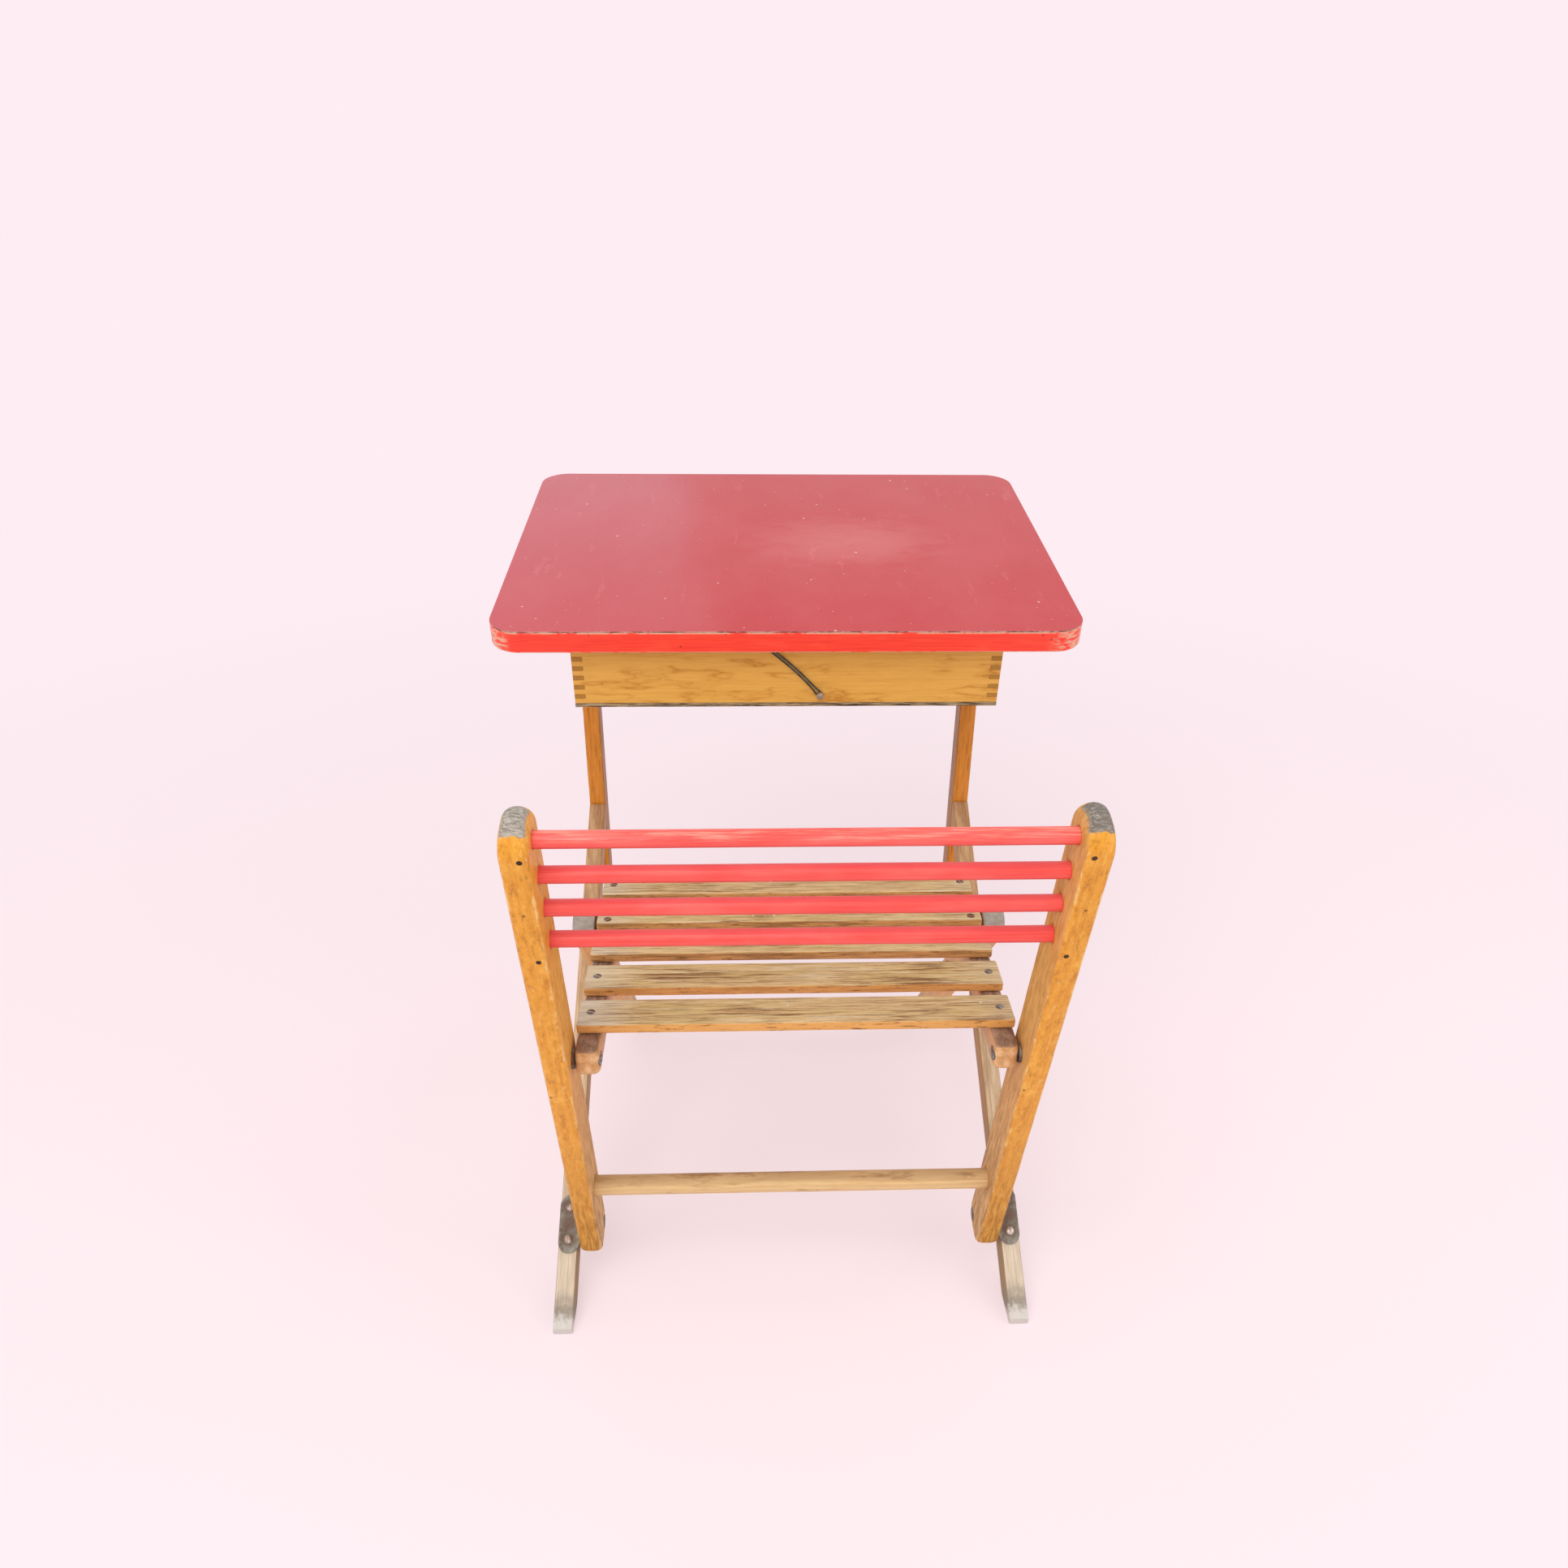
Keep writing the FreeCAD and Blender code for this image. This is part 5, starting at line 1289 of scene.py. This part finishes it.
for side in ("left", "right"):
    node = f"pivot_plate_{side}"
    stained = metal_finish(f"plate zinc {side}", ZINC_CLEAN, ZINC_DULL, tint(132, 100, 86), 0.45, 0.6,
                           plate_middle(side), turned(LEG_ANGLE - 90), PLATE_STAINS)
    fit(softened(node, node + "_zinc", PLATE_EDGE, stained), "desk_frame", "zinc", node)

# %% [markdown]
# ## Screw heads
# Screw and nail heads repeat. Each kind is spun once from a profile, screws with a slot cut across
# it, and a rule sets a copy on each point, aimed along that point's own direction and turned at
# random with a fixed seed.

# %% Screw heads
WIDEST_TURN = 3.1
HEAD_SKIRT = 1.2 * MM
HEAD_LIP = 0.15 * MM
HEAD_STEPS = 7

HEADS, bench, given, result = new_group(
    "heads on points", "GeometryNodeTree",
    {"Geometry": "geometry", "Head": "object", "Seed": "int", "Finish": "material"}, {"Geometry": "geometry"})
head = bench.node("GeometryNodeObjectInfo", None, {"Object": given["Head"]}).outputs["Geometry"]
aim = bench.out("GeometryNodeInputNamedAttribute", {"Name": "aim"}, {"data_type": "FLOAT_VECTOR"})
facing = bench.out("FunctionNodeAlignRotationToVector", {"Vector": aim}, {"axis": "Z"})
feeds = {2: 0.0, 3: WIDEST_TURN, "Seed": given["Seed"]}
angle = bench.node("FunctionNodeRandomValue", {"data_type": "FLOAT"}, feeds).outputs[1]
spin = bench.out("FunctionNodeAxisAngleToRotation", {"Axis": (0, 0, 1), "Angle": angle})
feeds = {"Rotation": facing, "Rotate By": spin}
facing = bench.out("FunctionNodeRotateRotation", feeds, {"rotation_space": "LOCAL"})
feeds = {"Points": given["Geometry"], "Instance": head, "Rotation": facing}
close_tree(bench, result, bench.out("GeometryNodeInstanceOnPoints", feeds), given["Finish"])


def slotted_head(name, radius, rise, slot_width, slot_depth):
    """A domed head, spun from a profile, with a screwdriver slot where a width is given."""
    shape = bmesh.new()
    angles = [math.pi / 2 * i / HEAD_STEPS for i in range(1, HEAD_STEPS + 1)]
    profile = [(radius, 0, -HEAD_SKIRT), (radius, 0, HEAD_LIP)]
    profile += [(radius * math.cos(angle), 0, HEAD_LIP + rise * math.sin(angle)) for angle in angles]
    points = [shape.verts.new(place) for place in profile]
    edges = [shape.edges.new(pair) for pair in zip(points, points[1:])]
    bmesh.ops.spin(shape, geom=points + edges, cent=(0, 0, 0), axis=(0, 0, 1), angle=2 * math.pi, steps=32)
    bmesh.ops.remove_doubles(shape, verts=shape.verts, dist=1e-6)
    bmesh.ops.holes_fill(shape, edges=[edge for edge in shape.edges if edge.is_boundary])
    bmesh.ops.recalc_face_normals(shape, faces=shape.faces)
    mesh = bpy.data.meshes.new(name)
    shape.to_mesh(mesh)
    shape.free()
    item = put(name, mesh)
    if slot_width:
        slot = bpy.data.meshes.new("slot")
        cutter = bmesh.new()
        size = Matrix.Diagonal((3 * radius, slot_width, 2 * slot_depth, 1))
        bmesh.ops.create_cube(cutter, size=1.0, matrix=Matrix.Translation((0, 0, rise)) @ size)
        cutter.to_mesh(slot)
        cutter.free()
        combine(item, put("slot", slot), "DIFFERENCE")
    return item


def set_heads(name, body, slot, node, head, spots, aim, finish, seed):
    """Copies of a head on a list of points, all aimed one way."""
    mesh = bpy.data.meshes.new(name + "_points")
    mesh.from_pydata([tuple(spot) for spot in spots], [], [])
    way = mesh.attributes.new("aim", "FLOAT_VECTOR", "POINT")
    for entry in way.data:
        entry.vector = aim
    item = grow(name, HEADS, {"Head": head, "Seed": seed, "Finish": finish}, mesh)
    bpy.data.objects.remove(head)
    fit(item, body, slot, node)


print(HEADS.name, len(HEADS.nodes), "nodes")

# %% [markdown]
# ## Where the heads sit
# Two screws hold each slat, in its middle line; the fourth slat lies over the front pivots, so its
# screws stand near its rear edge. Two screws hold each plate, and a nail through the back of a post
# holds each end of the top and the bottom red bar.

# %% Setting the heads
SEAT_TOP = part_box("seat_slat_1")[1].z
SCREW_X = 163 * MM
SCREW_EDGE = 6 * MM
SCREW_SINK = 0.5 * MM
PIVOT_SLAT = 4
NAIL_X = 181 * MM
NAIL_SINK = 0.3 * MM
NAILED_RUNS = (521 * MM, 423.5 * MM)

seat_spots = []
for i in range(1, SLAT_COUNT + 1):
    low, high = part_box(f"seat_slat_{i}")
    y = low.y + SCREW_EDGE if i == PIVOT_SLAT else (low.y + high.y) / 2
    seat_spots += [(sign * SCREW_X, y, SEAT_TOP - SCREW_SINK) for sign in (-1, 1)]
set_heads("seat_screws", "seat", "rusty_steel", "slat_screws",
          slotted_head("seat_head", 3.7 * MM, 0.4 * MM, 0.9 * MM, 0.7 * MM),
          seat_spots, (0, 0, 1), BOLT_STEEL, 3)

plate_spots = []
for side in ("left", "right"):
    plate_spots += [plate_middle(side) + LEG_ALONG * PLATE_GAP * share for share in (-0.5, 0.5)]
set_heads("plate_screw_heads", "desk_frame", "rusty_steel", "plate_screws",
          slotted_head("plate_head", 4.0 * MM, 1.8 * MM, 1.0 * MM, 0.9 * MM),
          plate_spots, LEG_NORMAL, RUSTY, 5)

nail_spots = []
for sign in (-1, 1):
    start = post_base(sign * NAIL_X) - POST_AHEAD * (POST_HALF - NAIL_SINK)
    nail_spots += [start + POST_UP * run for run in NAILED_RUNS]
set_heads("bar_nail_heads", "backrest", "rusty_steel", "bar_nails",
          slotted_head("nail_head", 1.9 * MM, 0.25 * MM, 0, 0), nail_spots, -POST_AHEAD, IRON, 7)

# %% [markdown]
# ## Wire hook
# A length of wire is doubled over a screw on the near face of the box and leans up to the left
# under the desk's edge. Two thin rods would miss its turns, so it is one closed curve with a round
# section, slightly bowed by use.

# %% Hook
HOOK_LEAN = 44.0
HOOK_LENGTH = 62 * MM
HOOK_EYE = 2.6 * MM
HOOK_CLOSE = 1.35 * MM
HOOK_WIRE = 0.8 * MM
HOOK_BOW = 1.6 * MM
lean_left = math.radians(HOOK_LEAN)
across = Vector((1, 0, 0))
hook_up = across * -math.sin(lean_left) + DESK_UP * math.cos(lean_left)
hook_side = across * math.cos(lean_left) + DESK_UP * math.sin(lean_left)


def hook_point(side, share):
    """A point of the doubled wire: wide at the eye, close together above, bowed to the right."""
    spread = HOOK_EYE + (HOOK_CLOSE - HOOK_EYE) * min(1.0, share * 7)
    bow = HOOK_BOW * math.sin(math.pi * share)
    return PIVOT["hook_swing"] + hook_up * HOOK_LENGTH * share + hook_side * (side * spread + bow)


def hook_turn(share, size, rising):
    """The three points that carry the wire round an end."""
    turns = ((0.8, 0.75), (0, 1.25), (-0.8, 0.75))
    flip = 1 if rising else -1
    return [hook_point(side * flip, share) + hook_up * size * rise * flip for side, rise in turns]


SHARES = [i / 10 for i in range(11)]
route = [hook_point(1, share) for share in SHARES] + hook_turn(1.0, HOOK_CLOSE, True)
route += [hook_point(-1, share) for share in reversed(SHARES)] + hook_turn(0.0, HOOK_EYE, False)
curve = bpy.data.curves.new("hook_route", "CURVE")
curve.dimensions = "3D"
curve.bevel_depth = HOOK_WIRE
curve.bevel_resolution = 5
curve.resolution_u = 6
spline = curve.splines.new("NURBS")
spline.points.add(len(route) - 1)
for point, spot in zip(spline.points, route):
    point.co = (*spot, 1)
spline.use_cyclic_u = True
spline.order_u = 3
bent = put("hook_route", curve)
wire_mesh = plain_mesh(bent)
bpy.data.objects.remove(bent)
for face in wire_mesh.polygons:
    face.use_smooth = True
coat(wire_mesh, WIRE)
fit(put("lid_hook_wire", wire_mesh), "hook", "dark_wire", "lid_hook")
dress(RUSTY, "hook_screw")
print("hook", len(wire_mesh.vertices), "points")
